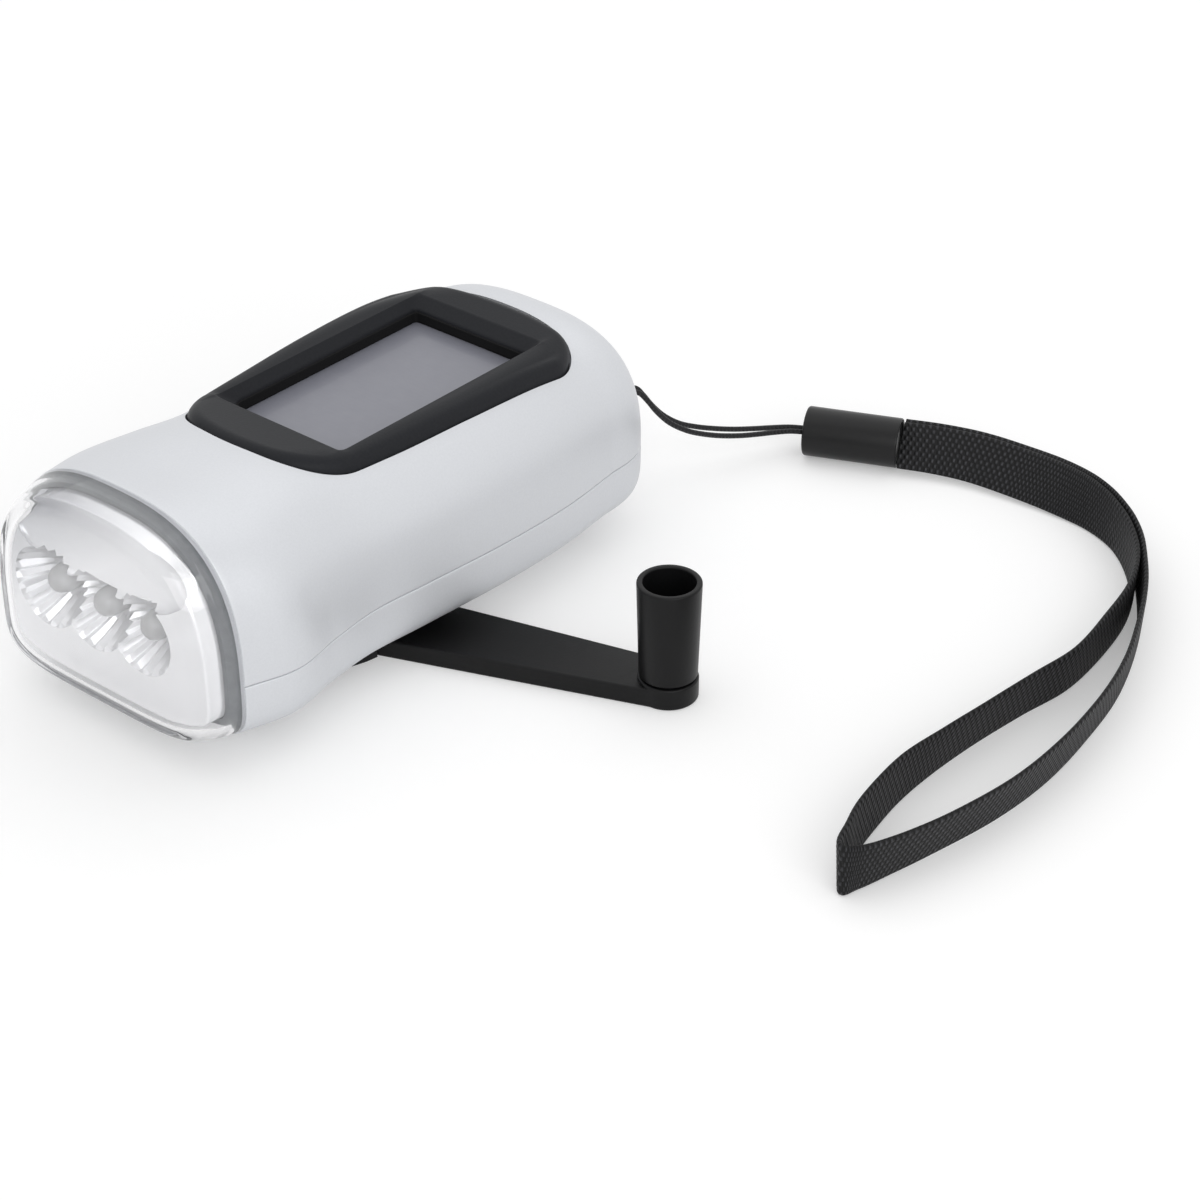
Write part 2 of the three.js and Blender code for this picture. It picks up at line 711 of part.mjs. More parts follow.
// Window frame: a patch of the body's form with a skirt that holds the panel
function windowFrame() {
  const patch = solid(prism(frameOutline(0), frameLow, headTop + overrun))
    .intersect(bodyForm(frameRise))
    .subtract(bodyForm(gap - frameSeat));
  const skirt = solid(block(
    -skirtHalfWidth,
    skirtHalfWidth,
    windowFront - skirtFront,
    windowRear + skirtRear,
    windowHeight - panelDrop + gap,
    headTop + overrun,
  )).intersect(bodyForm(frameRise));
  const hole = block(-windowHalfWidth, windowHalfWidth, windowFront, windowRear, 0, far);
  const panelSeat = block(
    -openingHalfWidth,
    openingHalfWidth,
    openingFront,
    openingRear,
    0,
    windowHeight - panelDrop + gap,
  );
  return patch.add(skirt).subtract(windowBevel()).subtract(solid(hole)).subtract(solid(panelSeat));
}
piece('window_frame', windowFrame(), greyPlastic);

const panelTop = windowHeight - panelDrop;
piece('solar_panel', block(
  -skirtHalfWidth,
  skirtHalfWidth,
  windowFront - skirtWall,
  windowRear + skirtWall,
  panelTop - panelThickness,
  panelTop,
), panelGlass);

// Housing screws, one solid each
screwPlaces.forEach(([x, y], index) => {
  const headTopHeight = screwHeadLow + screwHeadHeight;
  const profile = [
    [0, screwHeadLow],
    [screwHeadRadius, screwHeadLow],
    [screwHeadRadius, headTopHeight],
    [screwShank, headTopHeight],
    [screwShank, screwTip],
    [0, screwTip],
  ];
  piece(`housing_screw_${index + 1}`, turned(profile, x, y), steel);
});

// Control board and the stack of rechargeable button cells on it
piece('main_board', block(
  -mainBoardHalfWidth,
  mainBoardHalfWidth,
  mainBoardFront,
  mainBoardRear,
  mainBoardLow,
  mainBoardLow + boardThickness,
), boardGreen);
for (let i = 0; i < cellCount; i += 1) {
  const cell = new THREE.CylinderGeometry(cellRadius, cellRadius, cellThickness, bigSides / 2);
  const x = (i - (cellCount - 1) / 2) * (cellThickness + gap);
  cell.rotateZ(quarter).translate(x, cellRow, cellLow + cellRadius);
  piece(`cell_${i + 1}`, cell, steel);
}

// Switch: body inside the wall, slider through it
const switchBody = solid(block(
  switchBodyOuter,
  switchBodyOuter + switchBodyDepth,
  switchY + switchTravel / 2 - switchBodyHalfLength,
  switchY + switchTravel / 2 + switchBodyHalfLength,
  switchHeight - switchBodyHalfHeight,
  switchHeight + switchBodyHalfHeight,
));
const switchSlot = solid(block(
  switchBodyOuter - overrun,
  stemInner + gap,
  switchY - stemHalfLength - gap,
  switchY + stemHalfLength + switchTravel + gap,
  switchHeight - stemHalfHeight - gap,
  switchHeight + stemHalfHeight + gap,
));
piece('switch_body', switchBody.subtract(switchSlot), blackPlastic);
const switchStem = solid(block(
  knobInner,
  stemInner,
  switchY - stemHalfLength,
  switchY + stemHalfLength,
  switchHeight - stemHalfHeight,
  switchHeight + stemHalfHeight,
));
const switchKnob = solid(block(
  knobInner - knobThickness,
  knobInner,
  switchY - knobHalfLength,
  switchY + knobHalfLength,
  switchHeight - knobHalfHeight,
  switchHeight + knobHalfHeight,
));
piece('switch_slider', switchStem.add(switchKnob), blackPlastic);

// A spur gear's outline: involute flanks on a thinned tooth
function gearShape(teeth, module, phase) {
  const pitch = (teeth * module) / 2;
  const base = pitch * Math.cos(pressureAngle);
  const tip = pitch + module * addendumShare;
  const root = pitch - module * dedendumShare;
  const involute = (angle) => Math.tan(angle) - angle;
  const halfTooth = (radius) => {
    const bend = radius > base ? involute(Math.acos(base / radius)) : 0;
    return quarter / teeth + involute(pressureAngle) - bend - backlash / 2 / pitch;
  };
  const radii = root < base ? [root, base, pitch, tip] : [root, pitch, tip];
  const points = [];
  for (let i = 0; i < teeth; i += 1) {
    const middle = phase + (4 * quarter * i) / teeth;
    const at = (radius, angle) => new THREE.Vector2(radius * Math.cos(angle), radius * Math.sin(angle));
    for (const radius of radii) points.push(at(radius, middle - halfTooth(radius)));
    for (const radius of radii.slice().reverse()) points.push(at(radius, middle + halfTooth(radius)));
  }
  return new THREE.Shape(points);
}

function gear(teeth, module, phase, low, width, bore) {
  const shape = gearShape(teeth, module, phase);
  shape.holes.push(new THREE.Path().absarc(0, 0, bore, 0, 4 * quarter, true));
  return prism(shape, low, low + width, smallSides / 2);
}

// Crank hub: disc with a slot right across for the arm, shaft and gear above it
const crank = new THREE.Group();
crank.rotation.z = armAngle;
torch.add(crank);

function crankDisc() {
  const slotHalfWidth = armRootHalfWidth + gap;
  const slotTop = armThickness + gap;
  const slot = block(-far, far, -slotHalfWidth, slotHalfWidth, -overrun, slotTop);
  const disc = solid(bar(discRadius, 0, discTop, 0, 0, bigSides));
  const pinReach = foldPinReach + gap;
  const pinHole = new THREE.CylinderGeometry(foldPinRadius + gap, foldPinRadius + gap, 2 * pinReach, smallSides);
  pinHole.translate(foldPinOffset, 0, armThickness / 2);
  const screwHole = bar(plateScrewShank + gap, shaftTop - plateScrewDepth - gap, shaftTop + overrun);
  return disc.subtract(solid(slot))
    .subtract(solid(pinHole))
    .add(solid(bar(shaftRadius, discTop - gap, shaftTop)))
    .subtract(solid(screwHole));
}
piece('crank_disc', crankDisc(), blackPlastic, crank);

const foldPin = new THREE.CylinderGeometry(foldPinRadius, foldPinRadius, 2 * foldPinReach, smallSides);
piece('fold_pin', foldPin.translate(foldPinOffset, 0, armThickness / 2), steel, crank);

// Arm: even at the root, then tapering to a round tip
function armShape() {
  const shape = new THREE.Shape();
  const lean = Math.asin((armRootHalfWidth - armTipHalfWidth) / (armReach - armStraight));
  const tipX = armReach + armTipHalfWidth * Math.sin(lean);
  shape.moveTo(foldPinOffset, -armRootHalfWidth);
  shape.lineTo(armStraight, -armRootHalfWidth);
  shape.lineTo(tipX - tipRadius, -armTipHalfWidth);
  shape.absarc(armReach, 0, tipRadius, -quarter - lean, quarter + lean, false);
  shape.lineTo(tipX - tipRadius, armTipHalfWidth);
  shape.lineTo(armStraight, armRootHalfWidth);
  shape.lineTo(foldPinOffset, armRootHalfWidth);
  return shape;
}

function crankArm() {
  const half = armThickness / 2;
  let arm = solid(prism(armShape(), 0, armThickness, smallSides / 2));
  const root = new THREE.CylinderGeometry(half, half, 2 * armRootHalfWidth, smallSides);
  arm = arm.add(solid(root.translate(foldPinOffset, 0, half)));
  arm = arm.add(solid(bar(tipRadius, 0, tipHeight, armReach, 0, bigSides / 2)));
  const pinHole = new THREE.CylinderGeometry(foldPinRadius + gap, foldPinRadius + gap, far, smallSides);
  const pivot = bar(handlePinRadius + gap, tipHeight - pivotDepth - gap, tipHeight + overrun, armReach, 0);
  return arm.subtract(solid(pinHole.translate(foldPinOffset, 0, half))).subtract(solid(pivot));
}
const pivotDepth = tipHeight - 2 * gap - wall / 2;
piece('crank_arm', crankArm(), blackPlastic, crank);

// Handle: a tube that spins on a headed pin in the arm's tip
const handleLow = tipHeight + gap;
const handle = turned([
  [handlePinRadius + gap, handleLow],
  [handleLowRadius, handleLow],
  [handleTopRadius, handleTop],
  [handleTopBore, handleTop],
  [handleLowBore, handleLow + handleFloor],
  [handlePinRadius + gap, handleLow + handleFloor],
  [handlePinRadius + gap, handleLow],
], armReach, 0, bigSides / 2 + 2);
piece('handle', handle, blackPlastic, crank);
const pinHeadLow = handleLow + handleFloor + gap;
piece('handle_pin', turned([
  [0, tipHeight - pivotDepth],
  [handlePinRadius, tipHeight - pivotDepth],
  [handlePinRadius, pinHeadLow],
  [handlePinHead, pinHeadLow],
  [handlePinHead, pinHeadLow + pinHeadHeight],
  [0, pinHeadLow + pinHeadHeight],
], armReach, 0), steel, crank);

// Bush in the floor, crank gear on the shaft and the screw that holds it
piece('hub_bush', tube(shaftRadius + gap, bushRadius, discTop + gap, gearLow - gap), whiteNylon);
piece('crank_gear', gear(crankTeeth, coarseModule, 0, gearLow, gearWidth, shaftRadius + gap), whiteNylon);
piece('hub_screw', turned([
  [0, shaftTop - plateScrewDepth],
  [plateScrewShank, shaftTop - plateScrewDepth],
  [plateScrewShank, shaftTop + gap],
  [shaftRadius + 3 * gap, shaftTop + gap],
  [shaftRadius + 3 * gap, shaftTop + gap + screwHeadHeight],
  [0, shaftTop + gap + screwHeadHeight],
]), steel);

// Idler: pinion and wheel in one, on a pin between the floor and the plate
const gapPhase = (teeth) => (2 * quarter) / teeth;
const atIdler = (geometry) => geometry.translate(0, idlerY, 0);
const idlerBore = axleRadius + gap;
const idlerPinion = gear(
  idlerPinionTeeth,
  coarseModule,
  gapPhase(idlerPinionTeeth),
  gearLow,
  wheelLow - gearLow,
  idlerBore,
);
const idlerWheel = gear(idlerWheelTeeth, fineModule, 0, wheelLow, wheelWidth, idlerBore);
piece('idler_gear', solid(atIdler(idlerPinion)).add(solid(atIdler(idlerWheel))), whiteNylon);
const plateTop = plateLow + plateThickness;
piece('idler_axle', bar(axleRadius, axleLow, plateTop, 0, idlerY), steel);

// Gear plate: a wide front and a tongue to the rear pillar
function gearPlate() {
  const halfWidth = pillarHalfSpan + plateMargin;
  const wide = block(-halfWidth, halfWidth, idlerY - 2 * plateMargin, pillarY + plateMargin, plateLow, plateTop);
  const tongueHalf = plateMargin + pillarRadius;
  const tongue = block(-tongueHalf, tongueHalf, pillarY, rearPillarY + plateMargin, plateLow, plateTop);
  let plate = solid(wide).add(solid(tongue));
  plate = plate.subtract(solid(bar(axleRadius + gap, 0, far, 0, idlerY)));
  plate = plate.subtract(solid(bar(axleRadius + 2 * gap, 0, far, 0, rotorY)));
  for (const [x, y] of pillarPlaces) {
    plate = plate.subtract(solid(bar(plateScrewShank + gap, 0, far, x, y)));
  }
  return plate;
}
piece('gear_plate', gearPlate(), steel);
pillarPlaces.forEach(([x, y], index) => {
  const profile = [
    [0, plateLow - plateScrewDepth],
    [plateScrewShank, plateLow - plateScrewDepth],
    [plateScrewShank, plateTop + gap],
    [plateScrewHead, plateTop + gap],
    [plateScrewHead, plateTop + gap + screwHeadHeight],
    [0, plateTop + gap + screwHeadHeight],
  ];
  piece(`plate_screw_${index + 1}`, turned(profile, x, y), steel);
});

// Generator: can and base round a coil, with the magnet on the pinion's shaft
const canLow = plateTop + gap;
const canTop = windowHeight - panelDrop - panelThickness - canRoom;
piece('generator_can', turned([
  [canRadius - canWall, canLow],
  [canRadius, canLow],
  [canRadius, canTop],
  [0, canTop],
  [0, canTop - canWall],
  [canRadius - canWall, canTop - canWall],
  [canRadius - canWall, canLow],
], 0, rotorY, bigSides), steel);
const baseTop = canLow + baseThickness;
const insideCan = canRadius - canWall - gap;
piece('generator_base', tube(axleRadius + gap, insideCan, canLow, baseTop, 0, rotorY, bigSides), blackPlastic);
const coilTop = canTop - canWall - gap;
piece('stator_coil', tube(insideCan - coilWidth, insideCan, baseTop + gap, coilTop, 0, rotorY, bigSides), copper);
const magnetLow = baseTop + 2 * gap;
const magnetTop = coilTop - magnetDrop;
const magnet = tube(axleRadius + gap, magnetRadius, magnetLow, magnetTop, 0, rotorY, bigSides / 2);
piece('rotor_magnet', magnet, magnetGrey);
piece('rotor_shaft', bar(axleRadius, wheelLow, coilTop, 0, rotorY), steel);
const rotorPinion = gear(
  rotorPinionTeeth,
  fineModule,
  gapPhase(rotorPinionTeeth),
  wheelLow,
  wheelWidth,
  axleRadius + gap,
);
piece('rotor_pinion', rotorPinion.translate(0, rotorY, 0), whiteNylon);

// Strap: eyelet in the rear wall, with the knot behind it
const eyelet = solid(eyeletBar(eyeletRadius, eyeletInner, eyeletFace));
const eyeletHole = solid(eyeletBar(eyeletBore, eyeletInner - overrun, eyeletFace + overrun));
piece('strap_eyelet', eyelet.subtract(eyeletHole), steel);
const knot = new THREE.SphereGeometry(knotRadius, smallSides / 2 + 2, smallSides / 2);
piece('strap_knot', knot.translate(eyeletX, eyeletInner - gap - knotRadius, eyeletHeight), strapBlack);

// The same route moved sideways in plan, square to its own run at each point
function sideways(route, distance) {
  return route.map((place, index) => {
    const before = route[Math.max(index - 1, 0)];
    const after = route[Math.min(index + 1, route.length - 1)];
    const run = new THREE.Vector2(after.x - before.x, after.y - before.y).normalize();
    return new THREE.Vector3(place.x - run.y * distance, place.y + run.x * distance, place.z);
  });
}

const cordMiddle = cordRoute.map((place) => new THREE.Vector3(...place));
function strandRoute(side) {
  return cordMiddle.map((place, index) => {
    const bow = Math.sin(2 * quarter * index / (cordMiddle.length - 1)) ** 2;
    const spread = side < 0 ? strandSpread * bow : 0;
    return sideways(cordMiddle, side * (strandOffset + spread))[index];
  });
}

[-1, 1].forEach((side, index) => {
  const path = new THREE.CatmullRomCurve3(strandRoute(side));
  const circle = new THREE.Shape().absarc(0, 0, cordRadius, 0, 4 * quarter, false);
  const options = { steps: cordSteps, extrudePath: path, curveSegments: cordSides / 2 };
  piece(`strap_cord_${index + 1}`, new THREE.ExtrudeGeometry(circle, options), strapBlack);
});

// Sleeve that joins the cords to the webbing
const sleeveRun = new THREE.Vector3(Math.cos(sleeveAngle), Math.sin(sleeveAngle), 0);
const sleeveStart = cordMiddle[cordMiddle.length - 1].clone().addScaledVector(sleeveRun, gap);
const sleeve = new THREE.CylinderGeometry(sleeveRadius, sleeveRadius, sleeveLength, bigSides / 2);
sleeve.translate(0, sleeveLength / 2, 0).rotateZ(sleeveAngle - quarter);
piece('cord_sleeve', sleeve.translate(sleeveStart.x, sleeveStart.y, sleeveRadius + gap / 3), greyPlastic);

// Webbing: one flat band out along the outer leg, round the tip and back
const placeOf = ([x, y, z]) => new THREE.Vector3(x, y, z);
const leanOf = ([, , , lean]) => new THREE.Vector3(lean, 0, 0);
const pairMiddle = pairRoute.map(placeOf);
const pairLean = pairRoute.map(leanOf);
const layerOffset = (webbingThickness + layerGap) / 2;
const bandPlaces = [
  ...sideways(pairMiddle, layerOffset),
  ...outerRoute.map(placeOf),
  ...innerRoute.map(placeOf),
  ...sideways(pairMiddle, -layerOffset).reverse(),
];
const bandLeans = [
  ...pairLean,
  ...outerRoute.map(leanOf),
  ...innerRoute.map(leanOf),
  ...pairLean.map((lean) => lean.clone().negate()).reverse(),
];
const bandPath = new THREE.CatmullRomCurve3(bandPlaces);
const leanPath = new THREE.CatmullRomCurve3(bandLeans);
const upward = new THREE.Vector3(0, 0, 1);
const bandRings = [];
for (let i = 0; i <= webbingSteps; i += 1) {
  const share = i / webbingSteps;
  const middle = bandPath.getPoint(share);
  const run = bandPath.getTangent(share).setZ(0).normalize();
  const left = upward.clone().cross(run);
  const lean = THREE.MathUtils.degToRad(leanPath.getPoint(share).x);
  const across = upward.clone().multiplyScalar(Math.cos(lean)).addScaledVector(left, Math.sin(lean));
  const through = run.clone().cross(across);
  const corner = (a, b) => middle.clone()
    .addScaledVector(across, (a * webbingWidth) / 2)
    .addScaledVector(through, (b * webbingThickness) / 2);
  bandRings.push([corner(-1, -1), corner(-1, 1), corner(1, 1), corner(1, -1)]);
}
const startTip = bandPath.getPoint(0);
const endTip = bandPath.getPoint(1);
piece('strap_webbing', loft(bandRings, startTip, endTip), strapBlack);

export default torch;
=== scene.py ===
import json
from math import cos, pi, radians, sin, tan

import bmesh
import bpy
import numpy as np
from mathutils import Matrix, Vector

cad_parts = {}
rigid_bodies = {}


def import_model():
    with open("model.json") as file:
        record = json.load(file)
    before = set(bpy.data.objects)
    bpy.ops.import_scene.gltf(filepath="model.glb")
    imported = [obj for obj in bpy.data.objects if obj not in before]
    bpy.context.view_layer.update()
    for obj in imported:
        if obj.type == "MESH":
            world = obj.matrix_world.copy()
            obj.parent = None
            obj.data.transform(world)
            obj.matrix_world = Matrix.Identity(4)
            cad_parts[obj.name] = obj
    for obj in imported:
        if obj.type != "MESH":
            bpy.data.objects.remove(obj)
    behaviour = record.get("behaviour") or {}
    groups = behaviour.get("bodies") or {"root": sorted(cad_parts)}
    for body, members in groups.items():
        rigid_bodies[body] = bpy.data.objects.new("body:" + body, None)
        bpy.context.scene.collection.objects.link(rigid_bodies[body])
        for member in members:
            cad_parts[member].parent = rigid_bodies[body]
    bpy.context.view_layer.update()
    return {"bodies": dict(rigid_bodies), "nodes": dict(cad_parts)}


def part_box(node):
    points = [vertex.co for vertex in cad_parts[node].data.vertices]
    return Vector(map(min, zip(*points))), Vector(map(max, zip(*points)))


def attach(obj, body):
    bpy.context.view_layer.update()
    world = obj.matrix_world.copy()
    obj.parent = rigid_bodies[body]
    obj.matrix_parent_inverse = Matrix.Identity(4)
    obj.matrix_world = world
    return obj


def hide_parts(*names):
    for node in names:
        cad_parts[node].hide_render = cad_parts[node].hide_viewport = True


# A hand crank torch with a solar window and a wrist strap. Sizes are millimetres and are turned
# to metres where a mesh is made. The driving values are those of the part's source.
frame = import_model()
MM = 0.001
WELD = 0.0002  # millimetres: points closer than this are one point
QUARTER, TURN = pi / 2, 2 * pi
UP = (0, 0, 1.0)
END_SHARE = 0.6  # a cord's ends are drawn in to this share of its radius
scene = bpy.context.scene
# Driving sizes that the pieces share
GAP = 0.3
SEAM = 0.1  # what shows of the gap between the shells
UNDERSIDE = 4.2
BOTTOM_CROWN = 0.25
PART_HEIGHT = 16.2
JOINT_FACE = -39.5
REAR_END = 67.2
BODY_HALF_WIDTH = 28.5
HEAD_TOP = 43.4
UPPER_POWER = 2.75
LOWER_POWER = 4.5
REAR_POWER = 2.9
WALL = 2.2
EDGE = 0.28  # rounding of the shells' edges
OVERRUN = 5  # how far a cut runs past what it cuts
STATION_SHARES = [
    (0, 0.905, 1), (0.089, 1, 0.963), (0.183, 0.944, 0.949), (0.276, 0.909, 0.912),
    (0.398, 0.947, 0.905), (0.558, 0.993, 0.92), (0.708, 0.996, 0.912), (0.839, 0.944, 0.857),
]
FACE_CENTRE = 22.0
ARM_ANGLE = radians(18.2)
ARM_REACH = 66.4


def linked(name, data):
    """A new object with this data in the scene"""
    item = bpy.data.objects.new(name, data)
    scene.collection.objects.link(item)
    return item


# Camera of the photograph: 40 degrees from the lens end, 32.5 degrees up, a long lens
def add_camera():
    azimuth, elevation, distance = radians(40), radians(32.5), 0.517
    target = Vector((0.03989, 0.03076, 0.0042))
    back = Vector((
        sin(azimuth) * cos(elevation),
        -cos(azimuth) * cos(elevation),
        sin(elevation),
    ))
    camera = linked("camera", bpy.data.cameras.new("camera"))
    camera.location = target + back * distance
    camera.rotation_euler = (-back).to_track_quat("-Z", "Y").to_euler()
    camera.data.lens = 90
    camera.data.sensor_width = 36
    scene.camera = camera


add_camera()


# Curves and shapes: a shape is a pair of an array of points and a list of faces
def curve(points, spans):
    """Centripetal curve through the points, the same as in the part's source"""
    p = np.array(points, float)
    p = np.vstack([2 * p[0] - p[1], p, 2 * p[-1] - p[-2]])
    found = []
    for a, b, c, d in zip(p, p[1:], p[2:], p[3:]):
        da, db, dc = (np.linalg.norm(q - r) ** 0.5 for q, r in ((b, a), (c, b), (d, c)))
        db = db if db > 1e-4 else 1.0
        da, dc = (other if other > 1e-4 else db for other in (da, dc))
        leave = ((b - a) / da - (c - a) / (da + db) + (c - b) / db) * db
        reach = ((c - b) / db - (d - b) / (db + dc) + (d - c) / dc) * db
        for t in np.arange(spans) / spans:
            bend = -3 * b + 3 * c - 2 * leave - reach
            found.append(b + leave * t + bend * t**2 + (2 * b - 2 * c + leave + reach) * t**3)
    found.append(p[-2])
    return np.array(found)


def strides(points):
    """Distances between neighbours in a row of points"""
    return np.linalg.norm(np.diff(points, axis=0), axis=1)


def evenly(points, step):
    """The same line with points at an even step"""
    run = np.concatenate([[0], np.cumsum(strides(points))])
    at = np.linspace(0, run[-1], max(2, round(run[-1] / step) + 1))
    return np.stack([np.interp(at, run, column) for column in points.T], axis=1)


def skin(rings, caps=True):
    """Faces over closed rings of equal count; a ring that has shrunk to a point needs no cap"""
    rings = np.array(rings, float)
    count, sides = rings.shape[:2]
    faces = []
    for i in range(count - 1):
        for j in range(sides):
            k = (j + 1) % sides
            faces.append((i * sides + j, i * sides + k, (i + 1) * sides + k, (i + 1) * sides + j))
    if caps:
        faces.append(tuple(range(sides)))
        faces.append(tuple(range((count - 1) * sides, count * sides)))
    return rings.reshape(-1, 3), faces


def joined(*shapes):
    """Several shapes as one"""
    points, faces = [], []
    for more, some in shapes:
        start = sum(len(p) for p in points)
        points.append(more)
        faces += [tuple(start + k for k in face) for face in some]
    return np.vstack(points), faces


def unit(vectors):
    """Each vector at length one"""
    return vectors / np.linalg.norm(vectors, axis=-1, keepdims=True)


def bow(start, bend, end, steps=24):
    """A parabola that leaves its start and meets its end towards the bend"""
    t = np.linspace(0, 1, steps + 1)[:, None]
    return (1 - t) ** 2 * np.array(start) + 2 * t * (1 - t) * np.array(bend) + t**2 * np.array(end)


def rounded(corners, radius, steps=5, closed=True):
    """A flat outline with each corner rounded; radius is one number or one for each corner"""
    corners = [np.array(c, float) for c in corners]
    radii = [radius] * len(corners) if np.isscalar(radius) else radius
    found = []
    for i, corner in enumerate(corners):
        before, after = corners[i - 1] - corner, corners[(i + 1) % len(corners)] - corner
        reach = min(radii[i], np.linalg.norm(before) * 0.49, np.linalg.norm(after) * 0.49)
        if reach <= 0 or (not closed and i in (0, len(corners) - 1)):
            found.append(corner)
        else:
            found.extend(bow(corner + unit(before) * reach, corner, corner + unit(after) * reach, steps))
    return np.array(found)


def lathe(profile, x=0.0, y=0.0, sides=96, closed=True):
    """A profile of radius and height turned about an upright axis"""
    turn = np.arange(sides) * TURN / sides
    rings = [
        np.stack([x + r * np.cos(turn), y + r * np.sin(turn), np.full(sides, z)], axis=1)
        for r, z in profile
    ]
    if closed:
        rings.append(rings[0])
    return skin(rings, caps=False)


def moved(shape, change):
    """The shape with each point passed through a function of x, y and z"""
    points = shape[0]
    return np.stack(change(points[:, 0], points[:, 1], points[:, 2]), axis=1), shape[1]


def cylinder(radius, low, high, sides, x=0.0, y=0.0, bore=None):
    """A solid round bar, or a pipe where it has a bore"""
    profile = [(bore or 0, low), (radius, low), (radius, high), (bore or 0, high)]
    return lathe(profile, x, y, sides, closed=bore is not None)


def along_y(shape, x, y, z):
    """An upright shape laid down so that its height runs along +Y from a point"""
    return moved(shape, lambda a, b, c: (x + a, y + c, z - b))


def block(x0, x1, y0, y1, z0, z1):
    ring = lambda z: [(x0, y0, z), (x1, y0, z), (x1, y1, z), (x0, y1, z)]
    return skin([ring(z0), ring(z1)])


def tube(path, radius, sides):
    """A round cord along a path, with its ends drawn in"""
    path = np.array(path, float)
    run = unit(np.gradient(path, axis=0))
    side = np.cross(run[0], UP)
    turn = np.arange(sides) * TURN / sides
    rings = []
    for point, ahead in zip(path, run):
        side = unit(side - ahead * np.dot(side, ahead))
        up = np.cross(side, ahead)
        rings.append(point + radius * (np.outer(np.cos(turn), side) + np.outer(np.sin(turn), up)))
    for end in (0, -1):
        rings[end] = path[end] + (rings[end] - path[end]) * END_SHARE
    return skin(rings)


def cleaned(mesh_data, work):
    """Welds a mesh, points its faces outwards and drops what has no area"""
    bmesh.ops.remove_doubles(work, verts=work.verts, dist=WELD * MM)
    bmesh.ops.dissolve_degenerate(work, edges=work.edges, dist=WELD * MM / 2)
    bmesh.ops.recalc_face_normals(work, faces=work.faces)
    work.to_mesh(mesh_data)
    work.free()


def plain_object(name, shape):
    mesh_data = bpy.data.meshes.new(name)
    mesh_data.from_pydata((shape[0] * MM).tolist(), [], shape[1])
    work = bmesh.new()
    work.from_mesh(mesh_data)
    cleaned(mesh_data, work)
    return linked(name, mesh_data)


def evaluated(item):
    """A plain mesh of the object as its modifiers leave it"""
    graph = bpy.context.evaluated_depsgraph_get()
    return bpy.data.meshes.new_from_object(item.evaluated_get(graph))


def shape_of(mesh_data):
    points = np.empty(len(mesh_data.vertices) * 3)
    mesh_data.vertices.foreach_get("co", points)
    return points.reshape(-1, 3) / MM, [tuple(face.vertices) for face in mesh_data.polygons]


def combined(shape, tool, operation):
    """One shape cut by another, or joined to it"""
    first, second = plain_object("work_piece", shape), plain_object("work_tool", tool)
    modifier = first.modifiers.new("combine", "BOOLEAN")
    modifier.operation = operation
    modifier.solver = "EXACT"
    modifier.object = second
    found = shape_of(evaluated(first))
    bpy.data.objects.remove(first)
    bpy.data.objects.remove(second)
    return found


def taken(item):
    """The shape of a working object, which is removed"""
    found = shape_of(item.data)
    bpy.data.objects.remove(item)
    return found


def cad_shape(node):
    """The CAD node's own mesh, welded, as a shape"""
    return taken(plain_object("work_copy", shape_of(frame["nodes"][node].data)))


def softened(shape, width, corner=30):
    """The shape with its sharp edges rounded"""
    item = plain_object("work_edges", shape)
    work = bmesh.new()
    work.from_mesh(item.data)
    bmesh.ops.dissolve_limit(work, angle_limit=radians(1), verts=work.verts, edges=work.edges)
    sharp = [e for e in work.edges if e.is_manifold and e.calc_face_angle(0) > radians(corner)]
    bmesh.ops.bevel(
        work, geom=sharp, offset=width * MM, segments=2, profile=0.6, affect="EDGES", clamp_overlap=True
    )
    cleaned(item.data, work)
    return taken(item)


BODY_OF = {}
for body, empty in frame["bodies"].items():
    for child in empty.children_recursive:
        BODY_OF.setdefault(child.name, body)


def dress(item, finish, nodes, sharp=35):
    """Shades a finished piece, gives it its material and puts it in the place of CAD nodes"""
    item.data.materials.clear()
    item.data.materials.append(finish)
    item.data.shade_smooth()
    item.data.set_sharp_from_angle(angle=radians(sharp))
    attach(item, BODY_OF[nodes[0]])
    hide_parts(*nodes)
    return item


def piece(name, shape, finish, nodes, sharp=35):
    return dress(plain_object(name, shape), finish, nodes, sharp)


# Materials
def linear(code):
    """An sRGB hex colour as the linear one that a shader takes"""
    channels = [int(code[i:i + 2], 16) / 255 for i in (1, 3, 5)]
    return [c / 12.92 if c <= 0.04045 else ((c + 0.055) / 1.055) ** 2.4 for c in channels] + [1]


def add(tree, kind, inputs=None, **settings):
    """One node with its settings; an input is a value or the socket that feeds it"""
    item = tree.nodes.new(kind)
    for name, value in settings.items():
        setattr(item, name, value)
    for name, value in (inputs or {}).items():
        if isinstance(value, bpy.types.NodeSocket):
            tree.links.new(value, item.inputs[name])
        else:
            item.inputs[name].default_value = value
    return item


def maths(tree, operation, *values):
    """The result of one operation on numbers and sockets"""
    return add(tree, "ShaderNodeMath", dict(enumerate(values)), operation=operation).outputs[0]


def wave(tree, along, rate, shift=0.0):
    """The sine of a socket's value times a rate, with a shift added"""
    return maths(tree, "SINE", maths(tree, "MULTIPLY_ADD", along, rate, shift))


def emptied(holder):
    """The node tree of a material or a world, with no nodes in it yet"""
    holder.use_nodes = True
    holder.node_tree.nodes.clear()
    return holder.node_tree


